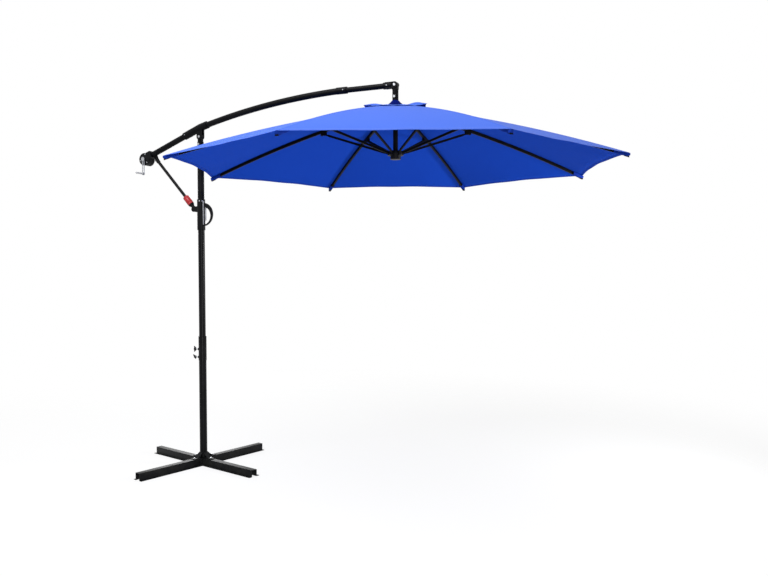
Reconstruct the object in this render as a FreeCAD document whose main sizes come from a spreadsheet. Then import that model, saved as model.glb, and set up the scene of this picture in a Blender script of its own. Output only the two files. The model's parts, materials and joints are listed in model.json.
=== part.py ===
"""Offset patio umbrella with a cross base, as a parametric FreeCAD document.

Millimetres. The origin is where the mast's axis meets the floor, +X runs along the arm
to the canopy and +Z is up.
"""
import FreeCAD, Part
import Sketcher
import math
import os
import re

Vector = FreeCAD.Vector
Rotation = FreeCAD.Rotation
Placement = FreeCAD.Placement
X_AXIS = Vector(1, 0, 0)
Y_AXIS = Vector(0, 1, 0)
Z_AXIS = Vector(0, 0, 1)
ORIGIN = Vector(0, 0, 0)

SIZES = {
    # cross base
    "bar_length": 1112,
    "bar_web_width": 46,
    "bar_height": 48,
    "bar_flange_width": 90,
    "bar_sheet": 3,
    "bar_lap_gap": 0.5,
    "base_turn": 30,
    "foot_length": 196,
    "foot_width": 36,
    "foot_plate": 4,
    "brace_foot_radius": 66,
    "brace_root": 4,
    "brace_height": 92,
    "base_bolt_radius": 82,
    "base_bolt_shank": 8,
    "bolt_head_radius": 7.5,
    "bolt_head_depth": 5.5,
    "bolt_end": 3,
    # lower mast, its bush and its two thumb screws
    "lower_mast_outer": 54,
    "lower_mast_wall": 2,
    "mast_joint_height": 943,
    "mast_collar_outer": 58,
    "mast_collar_length": 174,
    "mast_bush_length": 190,
    "mast_bush_lip": 3,
    "mast_fit": 0.05,
    "screw_height_low": 791,
    "screw_height_high": 849,
    "screw_shank": 8,
    "screw_fit": 0.1,
    "screw_tip_gap": 0.3,
    "screw_boss_outer": 20,
    "screw_boss_depth": 8,
    "screw_neck": 21,
    "knob_depth": 17,
    "knob_span": 46,
    "knob_root": 18,
    "knob_thickness": 9,
    # upper mast and the head that carries the arm
    "mast_outer": 48,
    "mast_wall": 1.5,
    "mast_inset": 240,
    "mast_top_height": 2322,
    "head_plug_length": 45,
    "head_rim_outer": 51,
    "head_rim_length": 12,
    "head_block_outer": 46,
    "head_block_top": 2366,
    "head_bolt_height": 2349,
    "tongue_thickness": 22,
    "tongue_width": 34,
    "pivot_height": 2404,
    "pivot_eye_radius": 22,
    "pivot_pin": 10,
    "pin_fit": 0.08,
    "pin_head_grow": 7,
    "cheek_gap": 0.4,
    "pin_head_depth": 4,
    # arm
    "arm_tube": 42,
    "arm_wall": 1.5,
    "arm_rise": 66,
    "rear_slope": 21,
    "rear_length": 500,
    "main_reach": 1150,
    "main_radius": 5200,
    "saddle_wall": 6,
    "saddle_outer": "=arm_tube + saddle_wall * 2",
    "saddle_rear": 150,
    "saddle_front": 66,
    "saddle_overlap": 8,
    "front_slope": 15,
    "lug_thickness": 5,
    "lug_width": 46,
    "front_play": 1.5,
    "front_tube": "=arm_tube - arm_wall * 2 - front_play * 2",
    "front_inset": 40,
    "coupler_wall": 2,
    "coupler_outer": "=arm_tube + coupler_wall * 2",
    "coupler_length": 76,
    "coupler_overlap": 30,
    "arm_head_wall": 4,
    "arm_head_outer": "=front_tube + arm_head_wall * 2",
    "arm_head_length": 56,
    "elbow_eye_radius": 20,
    "elbow_pin": 9,
    "elbow_cheek": 5,
    "elbow_gap": 6,
    "rivet_shank": 5,
    "rivet_head": 9,
    "rivet_head_depth": 2.5,
    "rivet_inset": 20,
    "link_thickness": 24,
    # crank housing and crank
    "housing_radius": 46,
    "housing_depth": 66,
    "housing_wall": 3,
    "housing_offset": 36,
    "housing_drop": 12,
    "housing_neck_reach": 68,
    "housing_neck_height": 52,
    "axle_outer": 16,
    "axle_reach": 14,
    "spool_radius": 16,
    "spool_flange": 30,
    "spool_width": 34,
    "spool_sheet": 2,
    "spool_play": 1,
    "crank_play": 2,
    "crank_hub_outer": 30,
    "crank_hub_length": 14,
    "crank_throw": 110,
    "crank_rod": 7,
    "crank_rod_spread": 15,
    "crank_end_grow": 2,
    "crank_grip_length": 70,
    "crank_grip_outer": 15,
    "crank_grip_pin": 7,
    "crank_grip_stop": 6,
    # strut between the crank end of the arm and the slider
    "strut_lug_along": 449,
    "strut_lug_drop": 55,
    "strut_lug_thickness": 10,
    "strut_lug_width": 26,
    "strut_pin": 8,
    "strut_tube": 22,
    "strut_sleeve": 46,
    "strut_sleeve_length": 76,
    "strut_sleeve_start": 388,
    "strut_wall": 1.5,
    "strut_shoulder": 18,
    "strut_plug": 16,
    "strut_end_radius": 13,
    "strut_end_cheek": 4,
    "strut_boss_thickness": 28,
    "strut_boss_eye": 14,
    "strut_boss_neck": 33,
    "strut_tube_end": 38,
    # slider on the mast
    "slider_outer": 58,
    "slider_bottom": 1725,
    "slider_length": 223,
    "slider_pivot_height": 1878,
    "slider_pivot_offset": 54,
    "clevis_thickness": 5,
    "clevis_gap": 1,
    "clevis_height": 40,
    "grip_top": 1922,
    "grip_bottom": 1754,
    "grip_reach": 100,
    "grip_thick_top": 30,
    "grip_thick_low": 9,
    "grip_thick_outer": 13,
    "grip_width": 17,
    "grip_belly": 6,
    "lever_pin_height": 1890,
    "lever_pin": 5,
    "lever_eye": 14,
    "lever_setback": 8,
    "lever_slot_play": 1,
    "lever_pin_offset": 48,
    "lever_length": 104,
    "lever_thickness": 6,
    "lever_width": 9,
    # canopy: everything hangs on one vertical axis
    "canopy_radius": 1450,
    "canopy_to_mast": 95,
    "canopy_offset": "=canopy_radius + canopy_to_mast",
    "elbow_height": 2628,
    "link_outer": 40,
    "link_bottom": 2512,
    "link_shoulder": 2598,
    "link_bolt_height": 2552,
    "link_eye_step": 2,
    "post_inset": 74,
    "post_outer": 32,
    "post_wall": 2,
    "post_bottom": 2160,
    "rib_count": 8,
    "rim_height": 2100,
    "crown_radius": 34,
    "crown_height": 2486,
    "canopy_bow": 30,
    "hem_scallop": 40,
    "fabric": 0.8,
    "fabric_gap": 1.2,
    "seam_gap": 0.4,
    "vent_opening": 112,
    "vent_radius": 225,
    "vent_inner": 50,
    "vent_lift": 10,
    "vent_scallop": 7,
    "cap_radius": 68,
    "cap_seat": 0.3,
    "cap_height": 36,
    "cap_wall": 2,
    "cap_clearance": 0.5,
    "hub_radius": 47,
    "hub_height": 36,
    "hub_slot": 7,
    "hub_floor": 8,
    "hub_slot_root": 12,
    "hinge_wire": 4,
    "hinge_play": 0.3,
    "rib_width": 12,
    "rib_depth": 20,
    "rib_wall": 1,
    "rib_tang": 5,
    "rib_tang_depth": 14,
    "rib_tang_length": 44,
    "rib_tang_lap": 14,
    "rib_tip_overlap": 24,
    "rib_tip_outer": 17,
    "rib_end_margin": 6,
    "rib_tip_end": 4,
    "rib_tip_drop": 0.4,
    "joint_along": 500,
    "joint_drop": 20,
    "bracket_cheek": 3,
    "bracket_length": 40,
    "bracket_eye": 9,
    "bracket_lift": 4,
    "stretcher_width": 9,
    "stretcher_depth": 15,
    "stretcher_tang": 5,
    "stretcher_tang_length": 46,
    "stretcher_tang_depth": 11,
    "stretcher_tang_lap": 10,
    "stretcher_wall": 1,
    "stretcher_pin": 5,
    "runner_radius": 52,
    "runner_height": 56,
    "runner_core": 34,
    "runner_fit": 0.5,
    "runner_floor": 10,
    "runner_stop": 2,
    "runner_slot": 10.5,
    "runner_pivot_radius": 43,
    "runner_pivot_height": 2186,
    "runner_lug_height": 26,
}

doc = FreeCAD.newDocument("PatioUmbrella")
sheet = doc.addObject("Spreadsheet::Sheet", "Sizes")
for row, (alias, value) in enumerate(SIZES.items(), start=1):
    sheet.set(f"A{row}", alias)
    sheet.set(f"B{row}", str(value))
    sheet.setAlias(f"B{row}", alias)
doc.recompute()

NODES = []
ORIGIN_TEXT = ("0", "0", "0")


def size(alias):
    """A driving dimension, read from the sheet."""
    return float(sheet.get(alias))


def formula(text):
    """Names the sheet in front of each alias of an expression."""
    return re.sub(r"[a-z][a-z_]*[a-z]", lambda m: f"Sizes.{m[0]}" if m[0] in SIZES else m[0], text)


def bind(item, **expressions):
    """Binds properties to expressions of the sheet's aliases."""
    for name, text in expressions.items():
        item.setExpression(name.replace("__", "."), formula(str(text)))
    return item


def place(item, at=ORIGIN_TEXT, axis=None, angle="0"):
    """Binds where an object stands and how it is turned about its own origin."""
    if axis is not None:
        item.Placement = Placement(ORIGIN, Rotation(axis, 1))
        bind(item, Placement__Rotation__Angle=angle)
    return bind(item, Placement__Base__x=at[0], Placement__Base__y=at[1], Placement__Base__z=at[2])


def primitive(kind, at=ORIGIN_TEXT, axis=None, angle="0", **sizes):
    """One Part primitive with bound sizes and place."""
    item = doc.addObject("Part::" + kind, kind)
    bind(item, **sizes)
    return place(item, at, axis, angle)


def box(length, width, height, at, axis=None, angle="0"):
    """A box whose place is the middle of its bottom face."""
    inner = primitive("Box", (f"-({length}) / 2", f"-({width}) / 2", "0"),
                      Length=length, Width=width, Height=height)
    holder = doc.addObject("Part::Compound", "Centred")
    holder.Links = [inner]
    return place(holder, at, axis, angle)


def upright(diameter, height, at):
    """A cylinder standing on a point."""
    return primitive("Cylinder", at, Radius=f"({diameter}) / 2", Height=height)


def across(diameter, width, at):
    """A cylinder along Y, centred on a point."""
    side = (at[0], f"{at[1]} + ({width}) / 2", at[2])
    return primitive("Cylinder", side, X_AXIS, "90", Radius=f"({diameter}) / 2", Height=width)


def along(diameter, length, at):
    """A cylinder along +X from a point."""
    return primitive("Cylinder", at, Y_AXIS, "90", Radius=f"({diameter}) / 2", Height=length)


def fuse(*items):
    joined = doc.addObject("Part::MultiFuse", "Fuse")
    joined.Shapes = list(items)
    joined.Refine = True
    return joined


def cut(base, *tools):
    result = doc.addObject("Part::Cut", "Cut")
    result.Base = base
    result.Tool = tools[0] if len(tools) == 1 else fuse(*tools)
    return result


def group(*items):
    """Separate solids that share one node."""
    held = doc.addObject("Part::Compound", "Group")
    held.Links = list(items)
    return held


def shaped(shape):
    """A solid from Part's own functions, for forms that no primitive gives."""
    item = doc.addObject("Part::Feature", "Shaped")
    item.Shape = shape
    return item


def node(name, item):
    """Names a finished sub-part."""
    item.Label = name
    NODES.append(item)
    return item


def turned(item, angle):
    """Turns an object about the mast's axis."""
    return place(item, ORIGIN_TEXT, Z_AXIS, angle)


# ---------------------------------------------------------------- cross base
def hat_channel(height):
    """Top web, two walls and two outward flanges along X, standing on the floor."""
    web = box("bar_length", "bar_web_width", "bar_sheet", ("0", "0", f"{height} - bar_sheet"))
    pieces = [web]
    for side in ("", "-"):
        wall = f"{side}(bar_web_width - bar_sheet) / 2"
        pieces.append(box("bar_length", "bar_sheet", height, ("0", wall, "0")))
        flange = f"{side}(bar_web_width + bar_flange_width - 2 * bar_sheet) / 4"
        width = "(bar_flange_width - bar_web_width) / 2 + bar_sheet"
        pieces.append(box("bar_length", width, "bar_sheet", ("0", flange, "0")))
    return fuse(*pieces)


LOWER_BAR_TURN = "base_turn - 45"
UPPER_BAR_TURN = "base_turn + 45"
UPPER_WEB = "bar_height + bar_sheet"
PLATE_TOP = f"{UPPER_WEB} + foot_plate"



def bolt_bores():
    """The two holes through a web and whatever lies on it."""
    bottom = "bar_height - bar_sheet * 2"
    depth = "bar_sheet * 4 + foot_plate"
    return [upright("base_bolt_shank", depth, (f"{side}base_bolt_radius", "0", bottom)) for side in ("", "-")]


node("base_bar_lower", turned(cut(hat_channel("bar_height"), *bolt_bores()), LOWER_BAR_TURN))
lap = box("bar_flange_width + bar_lap_gap * 2", "bar_flange_width + bar_lap_gap * 2", "bar_height",
          ORIGIN_TEXT)
node("base_bar_upper", turned(cut(hat_channel(UPPER_WEB), lap, *bolt_bores()), UPPER_BAR_TURN))


def foot_strip(turn, packing):
    """A strip of the foot along one bar, with a sloping brace to the mast at each end."""
    pieces = [box("foot_length", "foot_width", "foot_plate", ("0", "0", UPPER_WEB))]
    if packing:
        reach = "(foot_length - bar_web_width) / 2 - bar_lap_gap"
        middle = "(foot_length + bar_web_width) / 4 + bar_lap_gap / 2"
        for side in ("", "-"):
            pieces.append(box(reach, "foot_width", "bar_sheet", (f"{side}({middle})", "0", "bar_height")))
    run = "brace_foot_radius - lower_mast_outer / 2 + brace_root"
    rise = f"brace_height - ({PLATE_TOP})"
    for facing in ("0", "180"):
        slope = primitive("Box", ("brace_foot_radius", "-foot_width / 2", PLATE_TOP),
                          Y_AXIS, f"-(180 deg - atan2({rise}; {run}))",
                          Length=f"sqrt(({run})^2 + ({rise})^2)", Width="foot_width", Height="foot_plate")
        pieces.append(turned(group(slope), facing))
    return turned(cut(fuse(*pieces), *bolt_bores()), turn)


foot = fuse(foot_strip(LOWER_BAR_TURN, True), foot_strip(UPPER_BAR_TURN, False))
node("mast_foot", cut(foot, upright("lower_mast_outer", "brace_height * 2", ("0", "0", PLATE_TOP))))


def base_bolt(turn, web_top):
    """A hexagon bolt through the foot and a web, with its nut underneath."""
    nut_bottom = f"{web_top} - bar_sheet - bolt_head_depth"
    head = primitive("Prism", ("base_bolt_radius", "0", PLATE_TOP), Polygon="6",
                     Circumradius="bolt_head_radius", Height="bolt_head_depth")
    shank = upright("base_bolt_shank", f"{PLATE_TOP} - ({nut_bottom}) + bolt_end",
                    ("base_bolt_radius", "0", f"{nut_bottom} - bolt_end"))
    nut = primitive("Prism", ("base_bolt_radius", "0", nut_bottom),
                    Polygon="6", Circumradius="bolt_head_radius", Height="bolt_head_depth")
    return turned(fuse(head, shank, nut), turn)


node("base_bolts", group(
    base_bolt(LOWER_BAR_TURN, "bar_height"), base_bolt(f"{LOWER_BAR_TURN} + 180", "bar_height"),
    base_bolt(UPPER_BAR_TURN, f"({UPPER_WEB})"), base_bolt(f"{UPPER_BAR_TURN} + 180", f"({UPPER_WEB})")))

# ------------------------------------- lower mast with its collar and bush
SCREW_HEIGHTS = ("screw_height_low", "screw_height_high")
SCREW_BORE = "screw_shank + screw_fit * 2"
BOSS_FACE = "(mast_collar_outer / 2 + screw_boss_depth)"


def screw_bores():
    """The two screws' holes, from outside the bosses to the mast's axis."""
    return [along(SCREW_BORE, BOSS_FACE, (f"-{BOSS_FACE}", "0", height)) for height in SCREW_HEIGHTS]


lower_outside = fuse(
    upright("lower_mast_outer", f"mast_joint_height - ({PLATE_TOP})", ("0", "0", PLATE_TOP)),
    upright("mast_collar_outer", "mast_collar_length", ("0", "0", "mast_joint_height - mast_collar_length")),
    *[along("screw_boss_outer", f"{BOSS_FACE}", (f"-{BOSS_FACE}", "0", height)) for height in SCREW_HEIGHTS])
LOWER_BORE = "lower_mast_outer - lower_mast_wall * 2"
node("lower_mast", cut(lower_outside, upright(LOWER_BORE, "mast_joint_height", ORIGIN_TEXT), *screw_bores()))

BUSH_BORE = "mast_outer + mast_fit * 2"
bush = fuse(upright(LOWER_BORE, "mast_bush_length", ("0", "0", "mast_joint_height - mast_bush_length")),
            upright("mast_collar_outer", "mast_bush_lip", ("0", "0", "mast_joint_height")))
node("mast_bush", cut(bush, upright(BUSH_BORE, "mast_joint_height * 2", ORIGIN_TEXT), *screw_bores()))


def thumb_screw(name, height):
    """A threaded shank with a wing knob that is widest at its outer end."""
    neck = size("mast_collar_outer") / 2 + size("screw_boss_depth") + size("screw_neck")
    end = neck + size("knob_depth")
    root = size("knob_root") / 2
    span = size("knob_span") / 2
    half = size("knob_thickness") / 2
    outline = [Vector(-neck, -half, -root), Vector(-end, -half, -span),
               Vector(-end, -half, span), Vector(-neck, -half, root)]
    wings = Part.Face(Part.makePolygon(outline + outline[:1])).extrude(Vector(0, 2 * half, 0))
    hub = Part.makeCylinder(root, end - neck, Vector(-end, 0, 0), X_AXIS)
    tip = size("mast_outer") / 2 + size("screw_tip_gap")
    shank = Part.makeCylinder(size("screw_shank") / 2, neck - tip + 2, Vector(-neck - 2, 0, 0), X_AXIS)
    screw = shaped(wings.fuse([hub, shank]).removeSplitter())
    node(name, place(screw, ("0", "0", height)))


thumb_screw("thumb_screw_low", SCREW_HEIGHTS[0])
thumb_screw("thumb_screw_high", SCREW_HEIGHTS[1])

# ----------------------------------------------------- upper mast and its head
MAST_BORE = "mast_outer - mast_wall * 2"
MAST_START = "mast_joint_height - mast_inset"
mast_tube = upright("mast_outer", f"mast_top_height - ({MAST_START})", ("0", "0", MAST_START))
node("upper_mast", cut(mast_tube, upright(MAST_BORE, "mast_top_height * 2", ORIGIN_TEXT)))

head = fuse(
    upright(MAST_BORE, "head_plug_length", ("0", "0", "mast_top_height - head_plug_length")),
    upright("head_rim_outer", "head_rim_length", ("0", "0", "mast_top_height")),
    upright("head_block_outer", "head_block_top - mast_top_height", ("0", "0", "mast_top_height")),
    box("tongue_width", "tongue_thickness", "pivot_height - mast_top_height", ("0", "0", "mast_top_height")),
    across("pivot_eye_radius * 2", "tongue_thickness", ("0", "0", "pivot_height")))
node("mast_head", cut(head, across("pivot_pin", "mast_outer", ("0", "0", "pivot_height")),
                      across("base_bolt_shank", "mast_outer * 2", ("0", "0", "head_bolt_height"))))


def cross_pin(diameter, width, at):
    """A round pin along Y with a domed head at each end."""
    pieces = [across(diameter, width, at)]
    for side in ("", "-"):
        pieces.append(across(f"{diameter} + pin_head_grow", "pin_head_depth",
                             (at[0], f"{side}({width} + pin_head_depth) / 2", at[2])))
    return fuse(*pieces)


LUG_OUTSIDE = "(tongue_thickness + cheek_gap * 2 + lug_thickness * 2)"
node("mast_head_bolts", group(
    cross_pin("pivot_pin", f"({LUG_OUTSIDE} + cheek_gap * 2)", ("0", "0", "pivot_height")),
    cross_pin("base_bolt_shank", "head_block_outer", ("0", "0", "head_bolt_height"))))

# ------------------------------------------------------------------------ arm
SADDLE = ("0", "0", "pivot_height + arm_rise")


def arm_point(distance, drop="0"):
    """A point on the rear tube's axis, a distance back from the saddle, and so far under it."""
    back = f"-(({distance}) * cos(rear_slope) - ({drop}) * sin(rear_slope))"
    up = f"pivot_height + arm_rise - ({distance}) * sin(rear_slope) - ({drop}) * cos(rear_slope)"
    return (back, "0", up)


def rear_cylinder(diameter, start, length):
    """A cylinder on the rear tube's axis; start and length run back from the saddle."""
    return primitive("Cylinder", arm_point(start), Y_AXIS, "-90 - rear_slope",
                     Radius=f"({diameter}) / 2", Height=length)


SADDLE_RIVET = arm_point("saddle_rear - rivet_inset")


def rivet_bore(at):
    """The hole for a rivet, right through the arm."""
    return across("rivet_shank", "saddle_outer * 2", at)


ARM_BORE = "arm_tube - arm_wall * 2"
rear_tube = cut(rear_cylinder("arm_tube", "0", "rear_length"), rear_cylinder(ARM_BORE, "0", "rear_length"),
                rivet_bore(SADDLE_RIVET))
lug = box("strut_lug_width", "strut_lug_thickness", "strut_lug_drop - arm_tube / 2 + arm_wall",
          arm_point("strut_lug_along", "strut_lug_drop"), Y_AXIS, "-rear_slope")
lug_eye = across("strut_lug_width", "strut_lug_thickness", arm_point("strut_lug_along", "strut_lug_drop"))
strut_pin = across("strut_pin", "strut_lug_thickness + cheek_gap * 4 + strut_end_cheek * 2",
                   arm_point("strut_lug_along", "strut_lug_drop"))
node("arm_rear_tube", fuse(rear_tube, lug, lug_eye, strut_pin))


def main_arc():
    """The curved tube's axis: start, middle and end point."""
    start = Vector(0, 0, size("pivot_height") + size("arm_rise"))
    end = Vector(size("main_reach"), 0, size("elbow_height"))
    chord = end - start
    radius = size("main_radius")
    rise = radius - math.sqrt(radius ** 2 - (chord.Length / 2) ** 2)
    normal = Vector(-chord.z, 0, chord.x).normalize()
    return Part.Arc(start, (start + end) / 2 + normal * rise, end)


def swept_tube(arc, outer, inner=0):
    """A round tube along an arc in the XZ plane."""
    path = Part.Wire([arc.toShape()])
    start = path.Edges[0].valueAt(path.Edges[0].FirstParameter)
    heading = path.Edges[0].tangentAt(path.Edges[0].FirstParameter)
    solids = []
    for diameter in filter(None, (outer, inner)):
        ring = Part.Wire([Part.makeCircle(diameter / 2, start, heading)])
        solids.append(path.makePipeShell([ring], True, False))
    return solids[0] if len(solids) == 1 else solids[0].cut(solids[1])


MAIN_BORE = size("arm_tube") - 2 * size("arm_wall")
main_tube = shaped(swept_tube(main_arc(), size("arm_tube"), MAIN_BORE))
node("arm_main_tube", cut(main_tube, rear_cylinder("arm_tube", "0", "saddle_rear")))

saddle_front = primitive("Cylinder", SADDLE, Y_AXIS, "90 - front_slope",
                         Radius="saddle_outer / 2", Height="saddle_front")
saddle = fuse(rear_cylinder("saddle_outer", "-saddle_overlap", "saddle_rear + saddle_overlap"), saddle_front)
lugs = []
for side in ("", "-"):
    middle = f"{side}(tongue_thickness / 2 + cheek_gap + lug_thickness / 2)"
    lugs.append(box("lug_width", "lug_thickness", "arm_rise", ("0", middle, "pivot_height")))
    lugs.append(across("lug_width", "lug_thickness", ("0", middle, "pivot_height")))
saddle_bores = [rear_cylinder("arm_tube", "-saddle_overlap", "rear_length"), rivet_bore(SADDLE_RIVET),
                across("pivot_pin + pin_fit * 2", "saddle_outer * 2", ("0", "0", "pivot_height"))]
main_solid = shaped(swept_tube(main_arc(), size("arm_tube")))
node("arm_saddle", cut(fuse(saddle, *lugs), main_solid, *saddle_bores))


def front_cylinder(diameter, start, length):
    """A cylinder on the level front tube's axis; start is measured from the main tube's end."""
    return along(diameter, length, (f"main_reach + ({start})", "0", "elbow_height"))


HEAD_END = "canopy_offset - main_reach - elbow_eye_radius - elbow_gap"
COUPLER_RIVET = ("main_reach + coupler_length - coupler_overlap - rivet_inset", "0", "elbow_height")
HEAD_RIVET = (f"main_reach + {HEAD_END} - arm_head_length / 2", "0", "elbow_height")

coupler = front_cylinder("coupler_outer", "-coupler_overlap", "coupler_length")
coupler_bore = front_cylinder("front_tube", "-coupler_overlap", "coupler_length")
node("arm_coupler", cut(coupler, coupler_bore, main_solid, rivet_bore(COUPLER_RIVET)))
front = front_cylinder("front_tube", "-front_inset", f"{HEAD_END} + front_inset")
front_bore = front_cylinder("front_tube - arm_wall * 2", "-front_inset", "canopy_offset")
node("arm_front_tube", cut(front, front_bore, rivet_bore(COUPLER_RIVET), rivet_bore(HEAD_RIVET)))

CHEEK_LENGTH = "elbow_eye_radius * 2 + elbow_gap + arm_head_outer / 2"
SLEEVE_START = f"{HEAD_END} - arm_head_length"
head_sleeve = front_cylinder("arm_head_outer", SLEEVE_START, "arm_head_length + elbow_gap / 2")
cheeks = []
for side in ("", "-"):
    middle = f"{side}(link_thickness / 2 + cheek_gap + elbow_cheek / 2)"
    cheeks.append(box(CHEEK_LENGTH, "elbow_cheek", "elbow_eye_radius * 2",
                      (f"canopy_offset - ({CHEEK_LENGTH}) / 2", middle, "elbow_height - elbow_eye_radius")))
    cheeks.append(across("elbow_eye_radius * 2", "elbow_cheek", ("canopy_offset", middle, "elbow_height")))
sleeve_bore = front_cylinder("front_tube", SLEEVE_START, "arm_head_length")
elbow_bore = across("elbow_pin + pin_fit * 2", "saddle_outer", ("canopy_offset", "0", "elbow_height"))
node("arm_head", cut(fuse(head_sleeve, *cheeks), sleeve_bore, rivet_bore(HEAD_RIVET), elbow_bore))


def rivet(diameter, at):
    """A rivet along Y whose two heads stand on a tube's wall."""
    pieces = [across("rivet_shank", diameter, at)]
    for side in ("", "-"):
        pieces.append(across("rivet_head", "rivet_head_depth",
                             (at[0], f"{side}({diameter} + rivet_head_depth) / 2", at[2])))
    return fuse(*pieces)


node("arm_rivets", group(rivet("saddle_outer", SADDLE_RIVET), rivet("coupler_outer", COUPLER_RIVET),
                         rivet("arm_head_outer", HEAD_RIVET)))

# ------------------------------------------------------- crank housing and crank
HOUSING = arm_point("rear_length + housing_offset", "housing_drop")


def housing_body(side):
    """A drum with a neck around the arm's end, on one side of the arm's plane."""
    middle = f"{side}housing_depth / 4"
    drum = across("housing_radius * 2", "housing_depth / 2", ("0", middle, "0"))
    neck = box("housing_neck_reach", "housing_depth / 2", "housing_neck_height",
               ("housing_neck_reach / 2", middle, "housing_drop - housing_neck_height / 2"))
    return fuse(drum, neck)


def housing_half(name, side, *bores):
    """Half of the hollow housing, with the arm's bore in its neck."""
    room = across("(housing_radius - housing_wall) * 2", "housing_depth - housing_wall * 2", ORIGIN_TEXT)
    cavity = fuse(room, along("arm_tube", "housing_neck_reach", ("0", "0", "housing_drop")))
    half = cut(housing_body(side), cavity, *bores)
    node(name, place(half, HOUSING, Y_AXIS, "-rear_slope"))


axle_bore = across("axle_outer + pin_fit * 2", "housing_depth * 2", ORIGIN_TEXT)
housing_half("crank_housing_front", "-", axle_bore)
housing_half("crank_housing_back", "")

AXLE_FRONT = "(housing_depth / 2 + axle_reach)"
AXLE_BACK = "(housing_depth / 2 - housing_wall - spool_play)"
AXLE_MIDDLE = ("0", f"({AXLE_BACK} - {AXLE_FRONT}) / 2", "0")
axle = fuse(across("axle_outer", f"{AXLE_FRONT} + {AXLE_BACK}", AXLE_MIDDLE),
            across("spool_radius * 2", "spool_width", ORIGIN_TEXT),
            across("spool_flange * 2", "spool_sheet", ("0", "spool_width / 2", "0")),
            across("spool_flange * 2", "spool_sheet", ("0", "-spool_width / 2", "0")))
node("crank_spool", place(axle, HOUSING))

HUB_MIDDLE = "-(housing_depth / 2 + crank_play + crank_hub_length / 2)"
crank_hub = across("crank_hub_outer", "crank_hub_length", ("0", HUB_MIDDLE, "0"))
rods = [primitive("Cylinder", (f"{side}crank_rod_spread / 2", HUB_MIDDLE, "-crank_throw"),
                  Radius="crank_rod / 2", Height="crank_throw") for side in ("", "-")]
CRANK_END = "crank_rod + crank_end_grow"
crank_end = across("crank_rod_spread + crank_rod", CRANK_END, ("0", HUB_MIDDLE, "-crank_throw"))
PIN_LENGTH = f"(({CRANK_END}) / 2 + cheek_gap + crank_grip_length + crank_grip_stop)"
grip_pin = across("crank_grip_pin", PIN_LENGTH, ("0", f"{HUB_MIDDLE} - {PIN_LENGTH} / 2", "-crank_throw"))
crank_arm = cut(fuse(crank_hub, *rods, crank_end, grip_pin),
                across("axle_outer", "axle_reach * 2 + housing_depth", ORIGIN_TEXT))
node("crank_handle", place(crank_arm, HOUSING))

GRIP_MIDDLE = ("0", f"{HUB_MIDDLE} - ({CRANK_END}) / 2 - cheek_gap - crank_grip_length / 2", "-crank_throw")
grip = cut(across("crank_grip_outer", "crank_grip_length", GRIP_MIDDLE),
           across("crank_grip_pin + pin_fit * 2", "crank_grip_length", GRIP_MIDDLE))
node("crank_grip", place(grip, HOUSING))

# ------------------------------------------------------------------------ strut
STRUT_TOP = arm_point("strut_lug_along", "strut_lug_drop")
STRUT_FOOT = ("-slider_pivot_offset", "0", "slider_pivot_height")
STRUT_RUN = f"({STRUT_FOOT[0]} - ({STRUT_TOP[0]}))"
STRUT_FALL = f"({STRUT_TOP[2]} - slider_pivot_height)"
STRUT_LENGTH = f"sqrt({STRUT_RUN}^2 + {STRUT_FALL}^2)"
STRUT_ANGLE = f"180 deg - atan2({STRUT_RUN}; {STRUT_FALL})"


def on_strut(item):
    """Sets a piece that was made along +Z from the upper pivot onto the strut's line."""
    return place(item, STRUT_TOP, Y_AXIS, STRUT_ANGLE)


STRUT_BORE = "strut_tube - strut_wall * 2"
TUBE_RUN = f"{STRUT_LENGTH} - strut_tube_end - strut_end_radius * 2"
strut = cut(upright("strut_tube", TUBE_RUN, ("0", "0", "strut_end_radius * 2")),
            upright(STRUT_BORE, TUBE_RUN, ("0", "0", "strut_end_radius * 2")))
node("strut_tube", on_strut(strut))
SLEEVE_FOOT = ("0", "0", "strut_sleeve_start")
node("strut_sleeve", on_strut(cut(upright("strut_sleeve", "strut_sleeve_length", SLEEVE_FOOT),
                                  upright("strut_tube", "strut_sleeve_length", SLEEVE_FOOT))))
fork = [upright("strut_tube", "strut_end_radius * 2 - strut_shoulder", ("0", "0", "strut_shoulder")),
        upright(STRUT_BORE, "strut_plug", ("0", "0", "strut_end_radius * 2"))]
for side in ("", "-"):
    middle = f"{side}(strut_lug_thickness / 2 + cheek_gap + strut_end_cheek / 2)"
    fork.append(across("strut_end_radius * 2", "strut_end_cheek", ("0", middle, "0")))
    fork.append(box("strut_tube", "strut_end_cheek", "strut_end_radius * 2", ("0", middle, "0")))
top_end = cut(fuse(*fork), across("strut_pin + pin_fit * 2", "strut_sleeve", ORIGIN_TEXT))
BOSS_START = "(strut_sleeve_start + strut_sleeve_length)"
boss = primitive("Cone", ("0", "0", BOSS_START), Radius1="strut_sleeve / 2 - strut_wall",
                 Radius2="strut_boss_thickness / 2 - strut_wall / 3",
                 Height=f"{STRUT_LENGTH} - {BOSS_START} - strut_boss_neck")
boss_neck = upright("strut_boss_thickness - strut_wall * 2", "strut_boss_neck + strut_wall",
                    ("0", "0", f"{STRUT_LENGTH} - strut_boss_neck - strut_wall"))
boss_eye = across("strut_boss_eye * 2", "strut_boss_thickness", ("0", "0", STRUT_LENGTH))
boss_bore = upright("strut_tube", f"{STRUT_LENGTH} - strut_tube_end", ORIGIN_TEXT)
node("strut_ends", on_strut(group(top_end, cut(fuse(boss, boss_neck, boss_eye), boss_bore))))

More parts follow.
